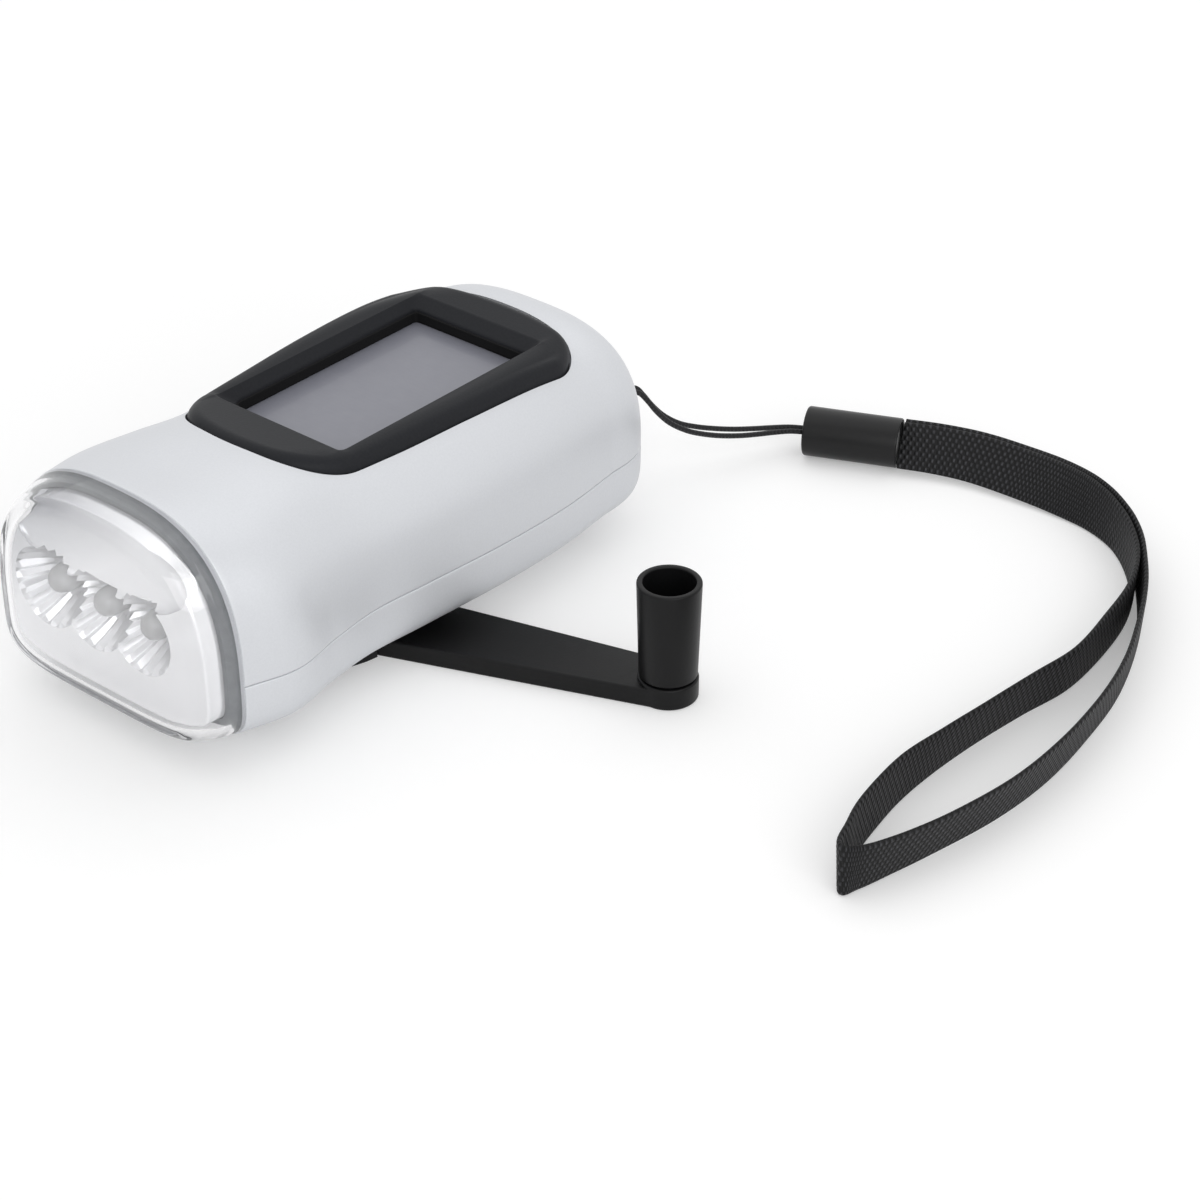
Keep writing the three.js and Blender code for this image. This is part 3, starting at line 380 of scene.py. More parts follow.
def material(name, colour, **values):
    """A named finish with one Principled shader, and the node tree to add to"""
    finish = bpy.data.materials.new(name)
    tree = emptied(finish)
    settings = {key.replace("_", " ").title().replace("Ior", "IOR"): value for key, value in values.items()}
    shader = add(tree, "ShaderNodeBsdfPrincipled", {"Base Color": linear(colour), **settings})
    add(tree, "ShaderNodeOutputMaterial", {"Surface": shader.outputs["BSDF"]})
    return finish, tree, shader


def place(tree, kind="Object", size=1.0):
    """Coordinates in units of a real size in millimetres, from the piece or its UV map"""
    where = add(tree, "ShaderNodeTexCoord").outputs[kind]
    share = 1 / (size * MM) if kind == "Object" else 1 / size
    return add(tree, "ShaderNodeMapping", {"Vector": where, "Scale": (share, share, share)}).outputs["Vector"]


def axes(tree, kind="Object", size=1.0):
    """The same coordinates as three sockets"""
    return add(tree, "ShaderNodeSeparateXYZ", {"Vector": place(tree, kind, size)}).outputs


def tint(tree, shader, share, first, second, end=1.0):
    """Colours the shader with two sRGB colours mixed by a socket, whose end value gives the second"""
    ramp = add(tree, "ShaderNodeValToRGB", {"Fac": share})
    for stop, colour in zip(ramp.color_ramp.elements, (first, second)):
        stop.color = linear(colour)
    ramp.color_ramp.elements[1].position = end
    tree.links.new(ramp.outputs["Color"], shader.inputs["Base Color"])


def grain(tree, size, detail=2.0):
    """Noise with grains of a real size"""
    return add(tree, "ShaderNodeTexNoise", {
        "Vector": place(tree, "Object", size), "Scale": 1.0, "Detail": detail, "Roughness": 0.5,
    }).outputs["Fac"]


def bump(tree, shader, height, depth, strength=1.0):
    """Relief of a real depth in millimetres"""
    relief = add(tree, "ShaderNodeBump", {"Height": height, "Distance": depth * MM, "Strength": strength})
    tree.links.new(relief.outputs["Normal"], shader.inputs["Normal"])


def grained(name, colour, size, detail=2.0, tones=None, relief=None, **values):
    """A finish whose grain of a real size gives its tones, its relief (depth and strength) or both"""
    finish, tree, shader = material(name, colour, **values)
    specks = grain(tree, size, detail)
    if tones:
        tint(tree, shader, specks, *tones)
    if relief:
        bump(tree, shader, specks, *relief)
    return finish


def clear_polycarbonate():
    # Moulded clear plastic: bright rims, slow ripples, a grey tint through its walls, and lamps
    # shine through it
    finish = grained(
        "clear_polycarbonate", "#FBFBFC", 12.0, 1.0, relief=(0.01, 0.25),
        roughness=0.03, ior=1.5, transmission_weight=1.0,
    )
    tree = finish.node_tree
    solid = tree.nodes["Principled BSDF"].outputs["BSDF"]
    through = add(tree, "ShaderNodeBsdfTransparent", {"Color": linear("#EEEFF0")}).outputs["BSDF"]
    rays = add(tree, "ShaderNodeLightPath").outputs["Is Shadow Ray"]
    both = add(tree, "ShaderNodeMixShader", {0: rays, 1: solid, 2: through})
    tree.links.new(both.outputs["Shader"], tree.nodes["Material Output"].inputs["Surface"])
    return finish


def aluminised_plastic():
    # Vacuum-metallised ABS: bright, milky and soft, with painted shade that turns it greyer towards the
    # bowl's far upper end
    finish, tree, shader = material("aluminised_plastic", "#F4F4F6", metallic=0.6, roughness=0.22)
    across = add(tree, "ShaderNodeVectorMath", {0: place(tree), 1: (1.0, 0.0, -1.5)}, operation="DOT_PRODUCT")
    reach = add(tree, "ShaderNodeMapRange", {
        "Value": across.outputs["Value"], "From Min": -72.5, "From Max": -46.0,
    })
    # Painted shade: the colour runs from grey at the bowl's far upper end to near white
    tint(tree, shader, reach.outputs["Result"], "#B9BABE", "#FBFBFC")
    return finish


def solar_laminate():
    # Resin-coated solar cell: bluish grey and even, with a faint weave 1.1 mm apart across it
    finish, tree, shader = material("solar_laminate", "#7B7C86", roughness=0.32, coat_weight=0.2)
    line = maths(tree, "POWER", wave(tree, axes(tree, "Object", 1.1)["Y"], pi), 12.0)
    level = maths(tree, "MULTIPLY_ADD", line, 0.12, grain(tree, 2.5))
    tint(tree, shader, level, "#787983", "#7F8089")
    return finish


def woven_nylon(rib_pitch=0.94, stitch_pitch=1.1, stagger=2.4):
    # Tubular nylon webbing: ribs along it, each a chain of glossy stitches 1.1 mm long; painted highlights on
    # the stitches, painted shade between them
    finish, tree, shader = material(
        "woven_nylon", "#0E0E0F", roughness=0.6, sheen_weight=0.03, specular_ior_level=0.25
    )
    spot = axes(tree, "UV")
    rib = maths(tree, "MULTIPLY", spot["X"], 1 / rib_pitch)
    shift = maths(tree, "MULTIPLY", maths(tree, "FLOOR", rib), stagger)
    stitch = wave(tree, spot["Y"], TURN / stitch_pitch, shift)
    crown = maths(tree, "ABSOLUTE", wave(tree, rib, pi))
    relief = maths(tree, "MULTIPLY", stitch, crown)
    # Painted highlight and shade: lighter colour on the stitches' crowns, darker in the hollows between them
    level = maths(tree, "MULTIPLY", relief, grain(tree, 0.9, 4.0))
    tint(tree, shader, level, "#030304", "#48484C", 0.75)
    bump(tree, shader, relief, 0.14)
    return finish


def braided_cord(strand_pitch=0.8):
    # Braided nylon cord, a millimetre thick: crossing strands drawn 0.8 mm apart, painted lighter on their
    # crowns and darker in the hollows
    finish, tree, shader = material(
        "braided_cord", "#1A1A1C", roughness=0.55, sheen_weight=0.05, specular_ior_level=0.3
    )
    spot = axes(tree, "UV")
    along = maths(tree, "MULTIPLY", spot["Y"], pi / strand_pitch)
    braid = maths(tree, "MULTIPLY", *(wave(tree, spot["X"], way * 2 * TURN, along) for way in (1, -1)))
    # Painted highlight and shade: the colour follows the braid's relief
    tint(tree, shader, braid, "#131315", "#2E2E31")
    bump(tree, shader, braid, 0.05)
    return finish


def solder_mask_board():
    # Glass-fibre board under green solder mask, with copper tracks showing as paler bands
    finish, tree, shader = material("solder_mask_board", "#2C6A44", roughness=0.42)
    bands = add(tree, "ShaderNodeTexVoronoi", {"Vector": place(tree, "Object", 2.5), "Scale": 1.0})
    tint(tree, shader, bands.outputs["Distance"], "#3A7D53", "#22573A")
    return finish


def enamelled_copper(wire=0.3):
    # Coil of enamelled copper wire: turns 0.3 mm apart, orange brown and glossy
    finish, tree, shader = material("enamelled_copper", "#A9643A", metallic=1.0, roughness=0.35)
    bump(tree, shader, wave(tree, axes(tree, "Object", wire)["Z"], TURN), 0.1)
    return finish


clear = clear_polycarbonate()
mirror = aluminised_plastic()
laminate = solar_laminate()
webbing_black = woven_nylon()
cord_black = braided_cord()
board = solder_mask_board()
copper = enamelled_copper()
# Moulded ABS under satin silver lacquer: soft broad reflections and a very fine metal grain, drawn
# coarser than real flakes so that it shows
silver = grained(
    "silver_painted_abs", "#D6D8DC", 0.35, tones=("#D1D3D7", "#DADCE0"), relief=(0.004, 0.5),
    metallic=0.25, roughness=0.42,
)
# Cast epoxy of a 5 mm diode: clear with a pale cloud
epoxy = grained(
    "clear_epoxy", "#FCFCFC", 1.2, relief=(0.01, 0.4), roughness=0.04, ior=1.45, transmission_weight=0.5,
)
# Moulded ABS with a spark-eroded mat skin: no clear reflections, a grain of half a millimetre
charcoal = grained(
    "charcoal_abs", "#27282B", 0.45, 4.0, ("#232427", "#2B2C2F"), (0.03, 0.6),
    roughness=0.42, specular_ior_level=0.08,
)
# Moulded black ABS, satin: near black with soft grey lights and a faint grain
black = grained(
    "black_abs", "#0E0E0F", 0.5, 3.0, ("#0C0C0D", "#111112"), (0.02, 0.5),
    roughness=0.4, specular_ior_level=0.2,
)
# Deep black, dull finish for a thin strip at the foot of the window's walls: painted shade where the walls
# meet the panel
shade_strip_black = grained(
    "painted_shade_black", "#0C0C0D", 0.5, 3.0, ("#0A0A0B", "#111112"), roughness=0.75, specular_ior_level=0.2,
)
# Soft silicone ring, mid grey and dull, seen as a band through the clear rim
silicone = grained("grey_silicone", "#85888B", 1.2, 3.0, ("#686B6E", "#85888B"), roughness=0.6)
# Soft PVC tube shrunk over the joint: near black and satin, with a faint unevenness
sleeve_grey = grained(
    "sleeve_pvc", "#0F0F10", 0.8, 2.0, ("#0D0D0E", "#131314"), (0.02, 0.5),
    roughness=0.34, specular_ior_level=0.28,
)
# Zinc-plated steel: grey and bright with a fine unevenness
steel = grained("zinc_plated_steel", "#B6B9BD", 0.3, relief=(0.01, 0.5), metallic=1.0, roughness=0.32)
# Moulded natural nylon: milky, low gloss
nylon = grained("white_nylon", "#E4E2DA", 0.6, relief=(0.01, 0.5), roughness=0.5, subsurface_weight=0.1)
# Pressed and fired ferrite: dark grey, mat, with a dusty grain
ferrite = grained("sintered_ferrite", "#45464A", 0.6, 4.0, ("#3B3C40", "#505155"), roughness=0.6)

# Strap: two cords, the sleeve and the webbing. The routes repeat those of the part's source:
# X, Y and Z in each row, and on the webbing its lean in degrees too.
CORD_ROUTE = [
    (13.0, 67.3, 19.6), (13.9, 69.2, 20.1), (15.0, 70.9, 19.9), (15.8, 72.2, 18.2), (16.6, 73.6, 15.9),
    (17.8, 75.6, 13.3), (19.2, 78.4, 11.0), (20.4, 81.8, 9.2), (22.0, 85.4, 7.8), (23.9, 89.4, 6.6),
    (25.6, 93.2, 5.7), (27.4, 96.6, 5.1), (29.4, 99.2, 4.8), (31.7, 100.6, 4.8),
]
PAIR_ROUTE = [
    (48.7, 108.15, 4.8, 50), (55.0, 111.0, 4.7, 48), (62.0, 113.1, 4.6, 45), (71.0, 114.0, 4.5, 41),
    (80.0, 113.8, 4.6, 30), (88.5, 112.2, 4.7, 14), (96.1, 108.3, 4.8, 4), (102.4, 102.7, 4.8, 3),
    (107.3, 96.2, 4.8, 3),
]
OUTER_ROUTE = [
    (112.8, 88.6, 4.8, 3), (117.6, 78.4, 4.8, 4), (121.9, 66.6, 4.8, 8), (124.5, 54.5, 4.8, 12),
    (126.1, 40.0, 4.8, 13), (125.8, 27.0, 4.8, 16), (123.6, 14.0, 4.8, 17), (121.0, 4.0, 4.8, 14),
    (118.8, -2.2, 4.8, 8), (117.2, -4.6, 4.8, 0),
]
INNER_ROUTE = [
    (115.9, -3.6, 4.8, 3), (114.3, 0.8, 4.8, 3), (112.6, 5.6, 4.8, 2), (111.2, 12.5, 4.8, 1),
    (110.2, 21.0, 4.8, -2), (110.5, 31.0, 4.8, -9), (111.4, 42.0, 4.8, -12), (112.6, 53.0, 4.8, -11),
    (114.0, 64.0, 4.8, -8), (112.6, 77.0, 4.8, -3), (110.4, 87.4, 4.8, -3),
]
CORD_RADIUS = 0.5
CORD_SIDES, CORD_STEP = 14, 0.4
STRAND_OFFSET = 0.75
STRAND_SPREAD = 1.8  # how far the near cord hangs out between its ends
SLEEVE_RADIUS = 4.7
SLEEVE_LENGTH = 18.0
SLEEVE_ANGLE = radians(24)
SLEEVE_BORE, BORE_DEPTH = 1.75, 1.5
MOUTH_RADIUS, MOUTH_DEPTH = 4.1, 0.7
WEBBING_WIDTH = 9.4
WEBBING_THICKNESS = 0.9
WEBBING_STEP = 0.8
LAYER_OFFSET = 0.62
RIBS = 10


def sideways(route, distance):
    """The same route moved sideways in plan, square to its own run at each point"""
    found = np.array(route, float)
    ends = np.vstack([found[:1], found, found[-1:]])
    run = unit((ends[2:] - ends[:-2])[:, :2])
    found[:, 0] -= run[:, 1] * distance
    found[:, 1] += run[:, 0] * distance
    return found


def wrap(item, across, step, girth=0.0):
    """UV map of a piece made ring by ring: a place across it in X, round which a girth runs, along it in Y"""
    spread = item.data.uv_layers.new(name="UVMap")
    sides = len(across)
    for face in item.data.polygons:
        columns = [index % sides for index in face.vertices]
        turned = max(columns) - min(columns) > sides / 2
        for corner, index, column in zip(face.loop_indices, face.vertices, columns):
            over = girth if turned and column < sides / 2 else 0
            spread.data[corner].uv = (across[column] + over, step * (index // sides))


def strand_route(side):
    """One cord's route; the near one hangs out a little between its ends"""
    spread = STRAND_SPREAD * np.sin(pi * np.linspace(0, 1, len(CORD_ROUTE))) ** 2
    return sideways(CORD_ROUTE, side * (STRAND_OFFSET + (spread if side < 0 else 0)))


def strap_cords(sleeve):
    """Each cord follows its own side of the route, with points close enough to give its length"""
    for number, side in ((1, -1), (2, 1)):
        path = evenly(curve(strand_route(side), 24), CORD_STEP)
        node = f"strap_cord_{number}"
        shape = tube(path, CORD_RADIUS, CORD_SIDES)
        item = piece(f"braided_{node}", shape, cord_black, [node])
        wrap(item, np.arange(CORD_SIDES) / CORD_SIDES, CORD_STEP, 1.0)


def cord_sleeve():
    """Tube that holds the cords' ends and the webbing's, with a bore for the cords"""
    mouth = SLEEVE_LENGTH - MOUTH_DEPTH
    corners = [
        (0, BORE_DEPTH), (SLEEVE_BORE, BORE_DEPTH), (SLEEVE_BORE, 0), (SLEEVE_RADIUS, 0),
        (SLEEVE_RADIUS, SLEEVE_LENGTH), (MOUTH_RADIUS, SLEEVE_LENGTH), (MOUTH_RADIUS, mouth), (0, mouth),
    ]
    profile = rounded(corners, [0, 0.2, 0.3, 0.5, 0.35, 0.25, 0.2, 0], closed=False)
    run = np.array([cos(SLEEVE_ANGLE), sin(SLEEVE_ANGLE), 0])
    start = np.array(CORD_ROUTE[-1]) + GAP * run
    laid = moved(lathe(profile, sides=72, closed=False), lambda a, b, c: (
        start[0] + c * run[0] - a * run[1],
        start[1] + c * run[1] + a * run[0],
        SLEEVE_RADIUS + GAP / 3 + b,
    ))
    return piece("shrunk_sleeve", laid, sleeve_grey, ["cord_sleeve"])


def webbing_section(steps=6):
    """Cross-section of the tubular webbing: ribs on both faces between two round edges"""
    across = np.linspace(-1, 1, RIBS * steps + 1)
    swell = 0.84 + 0.16 * np.abs(np.sin(pi * RIBS * (across + 1) / 2))
    taper = (1 - np.abs(across) ** 14) ** 0.5
    up = np.stack([across * WEBBING_WIDTH / 2, WEBBING_THICKNESS / 2 * swell * taper], axis=1)
    return np.vstack([up[1:], up[-2::-1] * (1, -1)])


def strap_webbing():
    """One band out along the outer leg, round the tip and back, on edge and leaning a little"""
    pair = np.array(PAIR_ROUTE)
    back = sideways(pair, -LAYER_OFFSET)[::-1] * (1, 1, 1, -1)
    route = np.vstack([sideways(pair, LAYER_OFFSET), OUTER_ROUTE, INNER_ROUTE, back])
    line = evenly(np.hstack([curve(route[:, :3], 40), curve(route[:, 3:], 40)]), WEBBING_STEP)
    middle, lean = line[:, :3], np.radians(line[:, 3:])
    run = unit(np.gradient(middle, axis=0) * (1, 1, 0))
    across = np.cos(lean) * UP + np.sin(lean) * np.cross(UP, run)
    through = np.cross(run, across)
    section = webbing_section()
    rings = [
        point + np.outer(section[:, 0], a) + np.outer(section[:, 1], t)
        for point, a, t in zip(middle, across, through)
    ]
    item = piece("woven_webbing", skin(rings), webbing_black, ["strap_webbing"], sharp=80)
    wrap(item, section[:, 0] + WEBBING_WIDTH / 2, strides(middle).mean())


strap_cords(cord_sleeve())
strap_webbing()

# The body's form: stations along it, a superellipse across it
stations = curve([
    (
        JOINT_FACE + (REAR_END - JOINT_FACE) * along,
        BODY_HALF_WIDTH * wide,
        PART_HEIGHT + (HEAD_TOP - PART_HEIGHT) * rise,
    )
    for along, wide, rise in STATION_SHARES
], 60)
SHOULDER = stations[-1]
JOINT = stations[0]
FULL_RISE = HEAD_TOP - PART_HEIGHT
FULL_DROP = PART_HEIGHT - UNDERSIDE + BOTTOM_CROWN


def arch(count, power, wide, high):
    """Half a superellipse from +X over the top to -X, evenly stepped, as shares of its half axes"""
    turn = np.linspace(0, QUARTER, 4000)
    x, z = np.cos(turn) ** (2 / power), np.sin(turn) ** (2 / power)
    run = np.concatenate([[0], np.cumsum(np.hypot(np.diff(x * wide), np.diff(z * high)))])
    even = np.interp(np.linspace(0, run[-1], count // 2 + 1), run, turn)
    x, z = np.cos(even) ** (2 / power), np.sin(even) ** (2 / power)
    x[-1] = 0
    return np.append(x, -x[-2::-1]), np.append(z, z[-2::-1])


def grown(y, grow):
    """Half width of the grown body, and its rise above the parting line, at a place along Y"""
    half, top = (np.interp(y, stations[:, 0], stations[:, column]) + grow for column in (1, 2))
    return half, top - PART_HEIGHT


def ring_sizes(grow, edge, rings=100, rear=40):
    """Place along Y, half width, rise and drop of each ring of the body's grown form"""
    nose = np.radians([0, 22.5, 45, 67.5])
    y = np.append(JOINT_FACE + EDGE * (1 - np.cos(nose)), np.linspace(JOINT_FACE + EDGE, SHOULDER[0], rings))
    inset = np.append(edge * (1 - np.sin(nose)), np.zeros(rings))
    sizes = np.stack([*grown(y, grow), np.full(len(y), FULL_DROP + grow)]) - inset
    turn = np.linspace(0, QUARTER, rear + 1)[1:]
    scale = np.abs(np.cos(turn)) ** (2 / REAR_POWER)
    scale[-1] = 0
    y = np.append(y, SHOULDER[0] + (REAR_END + grow - SHOULDER[0]) * np.sin(turn) ** (2 / REAR_POWER))
    return y, *np.hstack([sizes, sizes[:, -1:] * scale])


def half_form(upper, grow, lift, edge=0.0):
    """Rings of the form's upper or lower half, lifted off the parting line"""
    count = 132 if upper else 108
    power = UPPER_POWER if upper else LOWER_POWER
    full = FULL_RISE if upper else FULL_DROP
    x, z = arch(count, power, BODY_HALF_WIDTH, full)
    y, half, rise, drop = ring_sizes(grow, edge)
    height = (rise if upper else drop)[:, None] * z[None, :]
    off = SEAM / 2 + lift + height * (1 - (SEAM / 2 + lift) / full)
    level = PART_HEIGHT + (off if upper else -off)
    return np.stack([half[:, None] * x[None, :], np.repeat(y[:, None], len(x), axis=1), level], axis=2)


def half_shell(upper):
    """Outer and inner skin of one shell, joined along the parting face and the joint face"""
    outer = half_form(upper, 0, EDGE, EDGE)
    inner = half_form(upper, -WALL, 0)[:, ::-1]
    bends = [
        half_form(upper, -EDGE * (1 - cos(turn)), EDGE * (1 - sin(turn)), EDGE)
        for turn in np.radians([90, 67.5, 45, 22.5])
    ]
    right = np.stack([bend[:, 0] for bend in bends], axis=1)
    left = np.stack([bend[:, -1] for bend in bends[::-1]], axis=1)
    rings = np.concatenate([right, outer, left, inner], axis=1)
    if not upper:
        floor = np.full(rings.shape[:2], -np.inf)
        floor[:, : -inner.shape[1]] = UNDERSIDE
        rings[:, :, 2] = np.maximum(rings[:, :, 2], floor)
    shape = skin(rings, caps=False)
    bend, width = len(bends), outer.shape[1]
    last = rings.shape[1] - 1
    for j in range(width - 1):
        shape[1].append((bend + j, bend + j + 1, last - j - 1, last - j))
    shape[1].append((*range(bend + 1), last))
    shape[1].append((*range(bend + width - 1, 2 * bend + width), 2 * bend + width))
    return shape


def body_height(x, y, grow):
    """Height of the grown body's top over a place in plan"""
    half, rise = grown(y, grow)
    along = np.clip((y - SHOULDER[0]) / (REAR_END + grow - SHOULDER[0]), 0, 1)
    scale = (1 - along**REAR_POWER) ** (1 / REAR_POWER)
    share = np.clip(np.abs(x) / (half * scale), 0, 1)
    return PART_HEIGHT + rise * scale * (1 - share**UPPER_POWER) ** (1 / UPPER_POWER)


def body_side(y, height):
    """Half width of the body at a place along Y and a height"""
    half, rise = grown(y, 0)
    return half * (1 - ((height - PART_HEIGHT) / rise) ** UPPER_POWER) ** (1 / UPPER_POWER)


# Solar window: the frame's outline, its height over the plan and the seat it is set in
FRONT_HALF_WIDTH = 17.8
REAR_HALF_WIDTH = 20.4
FRAME_FRONT = -16.4
FRAME_REAR = 52.4
FRONT_RADIUS = 13.0
REAR_RADIUS = 9.0
FRONT_LEAN = radians(12)
REAR_LEAN = radians(9)
SIDE_FRONT_LEAN = radians(6)
SIDE_REAR_LEAN = radians(1)
FRAME_RISE = 1.5
FRAME_SEAT = 1.0
WINDOW_HALF_WIDTH = 13.3
WINDOW_FRONT = -2.7
WINDOW_REAR = 43.0
WINDOW_HEIGHT = 38.1
FRONT_CORNER = 2.2
REAR_CORNER = 0.8
# Widths and slopes of the steep bevels round the window, in front, behind and at the sides
FRONT_BEVEL, FRONT_BEVEL_SLOPE = 2.4, 0.86
REAR_BEVEL, REAR_BEVEL_SLOPE = 2.3, 0.75
SIDE_BEVEL, SIDE_BEVEL_SLOPE = 1.4, 1.3
SKIRT_WALL = 1.9
SKIRT_FRONT = 8.6
SKIRT_REAR = 6.6
PANEL_TOP = 35.6
FRONT_SLOPE = tan(radians(10.5))
REAR_SLOPE = tan(radians(5))
SIDE_SLOPE = tan(radians(8))
END_BLEND, CORNER_BLEND, BODY_BLEND = 0.3, 1.4, 0.8  # how softly the top's faces meet
OPENING_FLOOR = 30.0
SPOKE_STEP = 0.7
FRAME_ROLL = 2.0  # rounding of the frame's outer edge
WINDOW_ROLL = 0.25  # and of the window's
MIDDLE = np.array([0, (WINDOW_FRONT + WINDOW_REAR) / 2])


def arc(x, y, radius, start, end, steps=24):
    turn = np.linspace(start, end, steps + 1)
    return np.stack([x + radius * np.cos(turn), y + radius * np.sin(turn)], axis=1)


def frame_outline(grow):
    """The frame seen from above: round corners, bowed ends and bowed sides"""
    corners, ends = [], []
    for way, edge, half, radius, end_lean, side_lean in (
        (-1, FRAME_FRONT, FRONT_HALF_WIDTH, FRONT_RADIUS, FRONT_LEAN, SIDE_FRONT_LEAN),
        (1, FRAME_REAR, REAR_HALF_WIDTH, REAR_RADIUS, REAR_LEAN, SIDE_REAR_LEAN),
    ):
        x, grown_radius = half - radius, radius + grow
        run = x + grown_radius * sin(end_lean)
        sag = run * tan(end_lean) / 2
        low, high = edge + way * (grow - sag), edge + way * (grow + sag)
        y = low - way * grown_radius * cos(end_lean)
        corners.append(arc(x, y, grown_radius, way * (QUARTER - end_lean), way * side_lean)[::-way])
        ends.append(bow((way * run, low), (0, high), (-way * run, low)))
    start, end = corners[0][-1], corners[1][0]
    widening, narrowing = tan(SIDE_FRONT_LEAN), tan(SIDE_REAR_LEAN)
    run = (end[0] - start[0] + (end[1] - start[1]) * narrowing) / (widening + narrowing)
    bend = start + run * np.array([widening, 1])
    right = np.vstack([corners[0], bow(start, bend, end), corners[1]])
    return np.vstack([right, ends[1], right[::-1] * (-1, 1), ends[0]])


def rectangle(half, front, rear, corner):
    return rounded([(half, front), (half, rear), (-half, rear), (-half, front)], corner, 8)


def window_edge(inset):
    """The window's opening, drawn in by an inset: front corners rounder than the rear ones"""
    corners = [FRONT_CORNER, REAR_CORNER, REAR_CORNER, FRONT_CORNER]
    return rectangle(WINDOW_HALF_WIDTH - inset, WINDOW_FRONT + inset, WINDOW_REAR - inset, corners)


def bearing(points):
    """The angle at which each point is seen from the window's middle"""
    x, y = (points - MIDDLE).T
    return np.arctan2(y, x)


def seen_from_middle(outline, turns):
    """Where rays from the window's middle meet an outline"""
    spokes = outline - MIDDLE
    angle = np.unwrap(bearing(outline)) % TURN
    order = np.argsort(angle)
    angle, spokes = angle[order], spokes[order]
    angle, spokes = np.append(angle, angle[0] + TURN), np.vstack([spokes, spokes[:1]])
    found = []
    for turn in turns:
        turn = turn if turn >= angle[0] else turn + TURN
        k = min(max(np.searchsorted(angle, turn, side="right") - 1, 0), len(spokes) - 2)
        a, b = spokes[k], spokes[k + 1]
        ray = np.array([cos(turn), sin(turn)])
        edge = b - a
        reach = (a[0] * edge[1] - a[1] * edge[0]) / (ray[0] * edge[1] - ray[1] * edge[0])
        found.append(MIDDLE + ray * reach)
    return np.array(found)


def window_turns(outline, window):
    """Angles of the spokes: evenly along the outline, with the window's round corners kept"""
    even = evenly(np.vstack([outline, outline[:1]]), SPOKE_STEP)[:-1]
    turns = np.sort(bearing(np.vstack([even, window])) % TURN)
    return turns[np.append(True, np.diff(turns) > 0.002)]


def soft_least(a, b, blend):
    mixed = np.clip(0.5 + 0.5 * (b - a) / blend, 0, 1)
    return b * (1 - mixed) + a * mixed - blend * mixed * (1 - mixed)


def frame_height(x, y):
    """The frame's top: a band over the body, cut by bevels and slopes that rise from the window's edges"""
    def rise(away, width, steep, slope):
        return steep * np.minimum(away, width) + slope * np.maximum(away - width, 0)

    front = rise(WINDOW_FRONT - y, FRONT_BEVEL, FRONT_BEVEL_SLOPE, FRONT_SLOPE)
    rear = rise(y - WINDOW_REAR, REAR_BEVEL, REAR_BEVEL_SLOPE, REAR_SLOPE)
    side = rise(np.abs(x) - WINDOW_HALF_WIDTH, SIDE_BEVEL, SIDE_BEVEL_SLOPE, SIDE_SLOPE)
    slopes = -soft_least(soft_least(-front, -rear, END_BLEND), -side, CORNER_BLEND)
    return soft_least(body_height(x, y, FRAME_RISE), WINDOW_HEIGHT + slopes, BODY_BLEND)


def layer(plan, heights):
    """A ring over an outline, at one height or at one for each point"""
    return np.column_stack([plan, np.broadcast_to(heights, len(plan))])


def between(outer, inner, shares, height):
    """Layers at shares of the way from one outline to another"""
    plans = [outer + (inner - outer) * share for share in shares]
    return [layer(plan, height(plan)) for plan in plans]


def skirt_outline(grow, corner):
    """The frame's skirt seen from above"""
    half = WINDOW_HALF_WIDTH + SKIRT_WALL + grow
    return rectangle(half, WINDOW_FRONT - SKIRT_FRONT - grow, WINDOW_REAR + SKIRT_REAR + grow, corner)


def window_frame():
    """Rolled outer edge, dished top, rolled inner edge, the window's walls and the skirt below"""
    window = window_edge(0)
    turns = window_turns(frame_outline(0), window)
    at = lambda outline: seen_from_middle(outline, turns)
    low = lambda plan: body_height(*plan.T, GAP - FRAME_SEAT)
    top = lambda plan: frame_height(*plan.T)
    rim, inner_rim, hole = at(frame_outline(0)), at(frame_outline(-FRAME_ROLL)), at(window)
    rings = [layer(rim, low(rim))]
    for turn in np.radians(np.linspace(0, 90, 7)):
        plan = at(frame_outline(-FRAME_ROLL * (1 - cos(turn))))
        fall = FRAME_ROLL * (1 - sin(turn))
        rings.append(layer(plan, np.maximum(top(inner_rim) - fall, low(plan) + 0.1)))
    lip = hole + unit(inner_rim - hole) * WINDOW_ROLL
    half, front, rear = WINDOW_HALF_WIDTH + SIDE_BEVEL, WINDOW_FRONT - FRONT_BEVEL, WINDOW_REAR + REAR_BEVEL
    ridge = at(rectangle(half, front, rear, 1.0))
    for outer, inner, steps in ((inner_rim, ridge, 14), (ridge, lip, 12)):
        rings += between(outer, inner, np.linspace(0, 1, steps + 1)[1:], top)
    for turn in np.radians([30, 60, 90]):
        plan = lip + (hole - lip) * sin(turn)
        rings.append(layer(plan, top(plan) - WINDOW_ROLL * (1 - cos(turn))))
    skirt, floor = at(skirt_outline(0, 0.2)), PANEL_TOP + GAP
    rings += [layer(hole, floor), layer(skirt, floor), layer(skirt, low(skirt))]
    rings += between(skirt, rim, (0.25, 0.5, 0.75), low)
    return skin([*rings, rings[0]], caps=False)


def frame_seat():
    """What the frame's seat and the opening below it take out of the upper shell"""
    opening = skirt_outline(GAP, 0.1)
    turns = window_turns(frame_outline(GAP), opening)
    rim, hole = (seen_from_middle(outline, turns) for outline in (frame_outline(GAP), opening))
    low = lambda plan: body_height(*plan.T, -FRAME_SEAT)
    seat = between(rim, hole, (0, 0.25, 0.5, 0.75, 1), low)
    return skin([layer(rim, HEAD_TOP + OVERRUN), *seat, layer(hole, OPENING_FLOOR)])


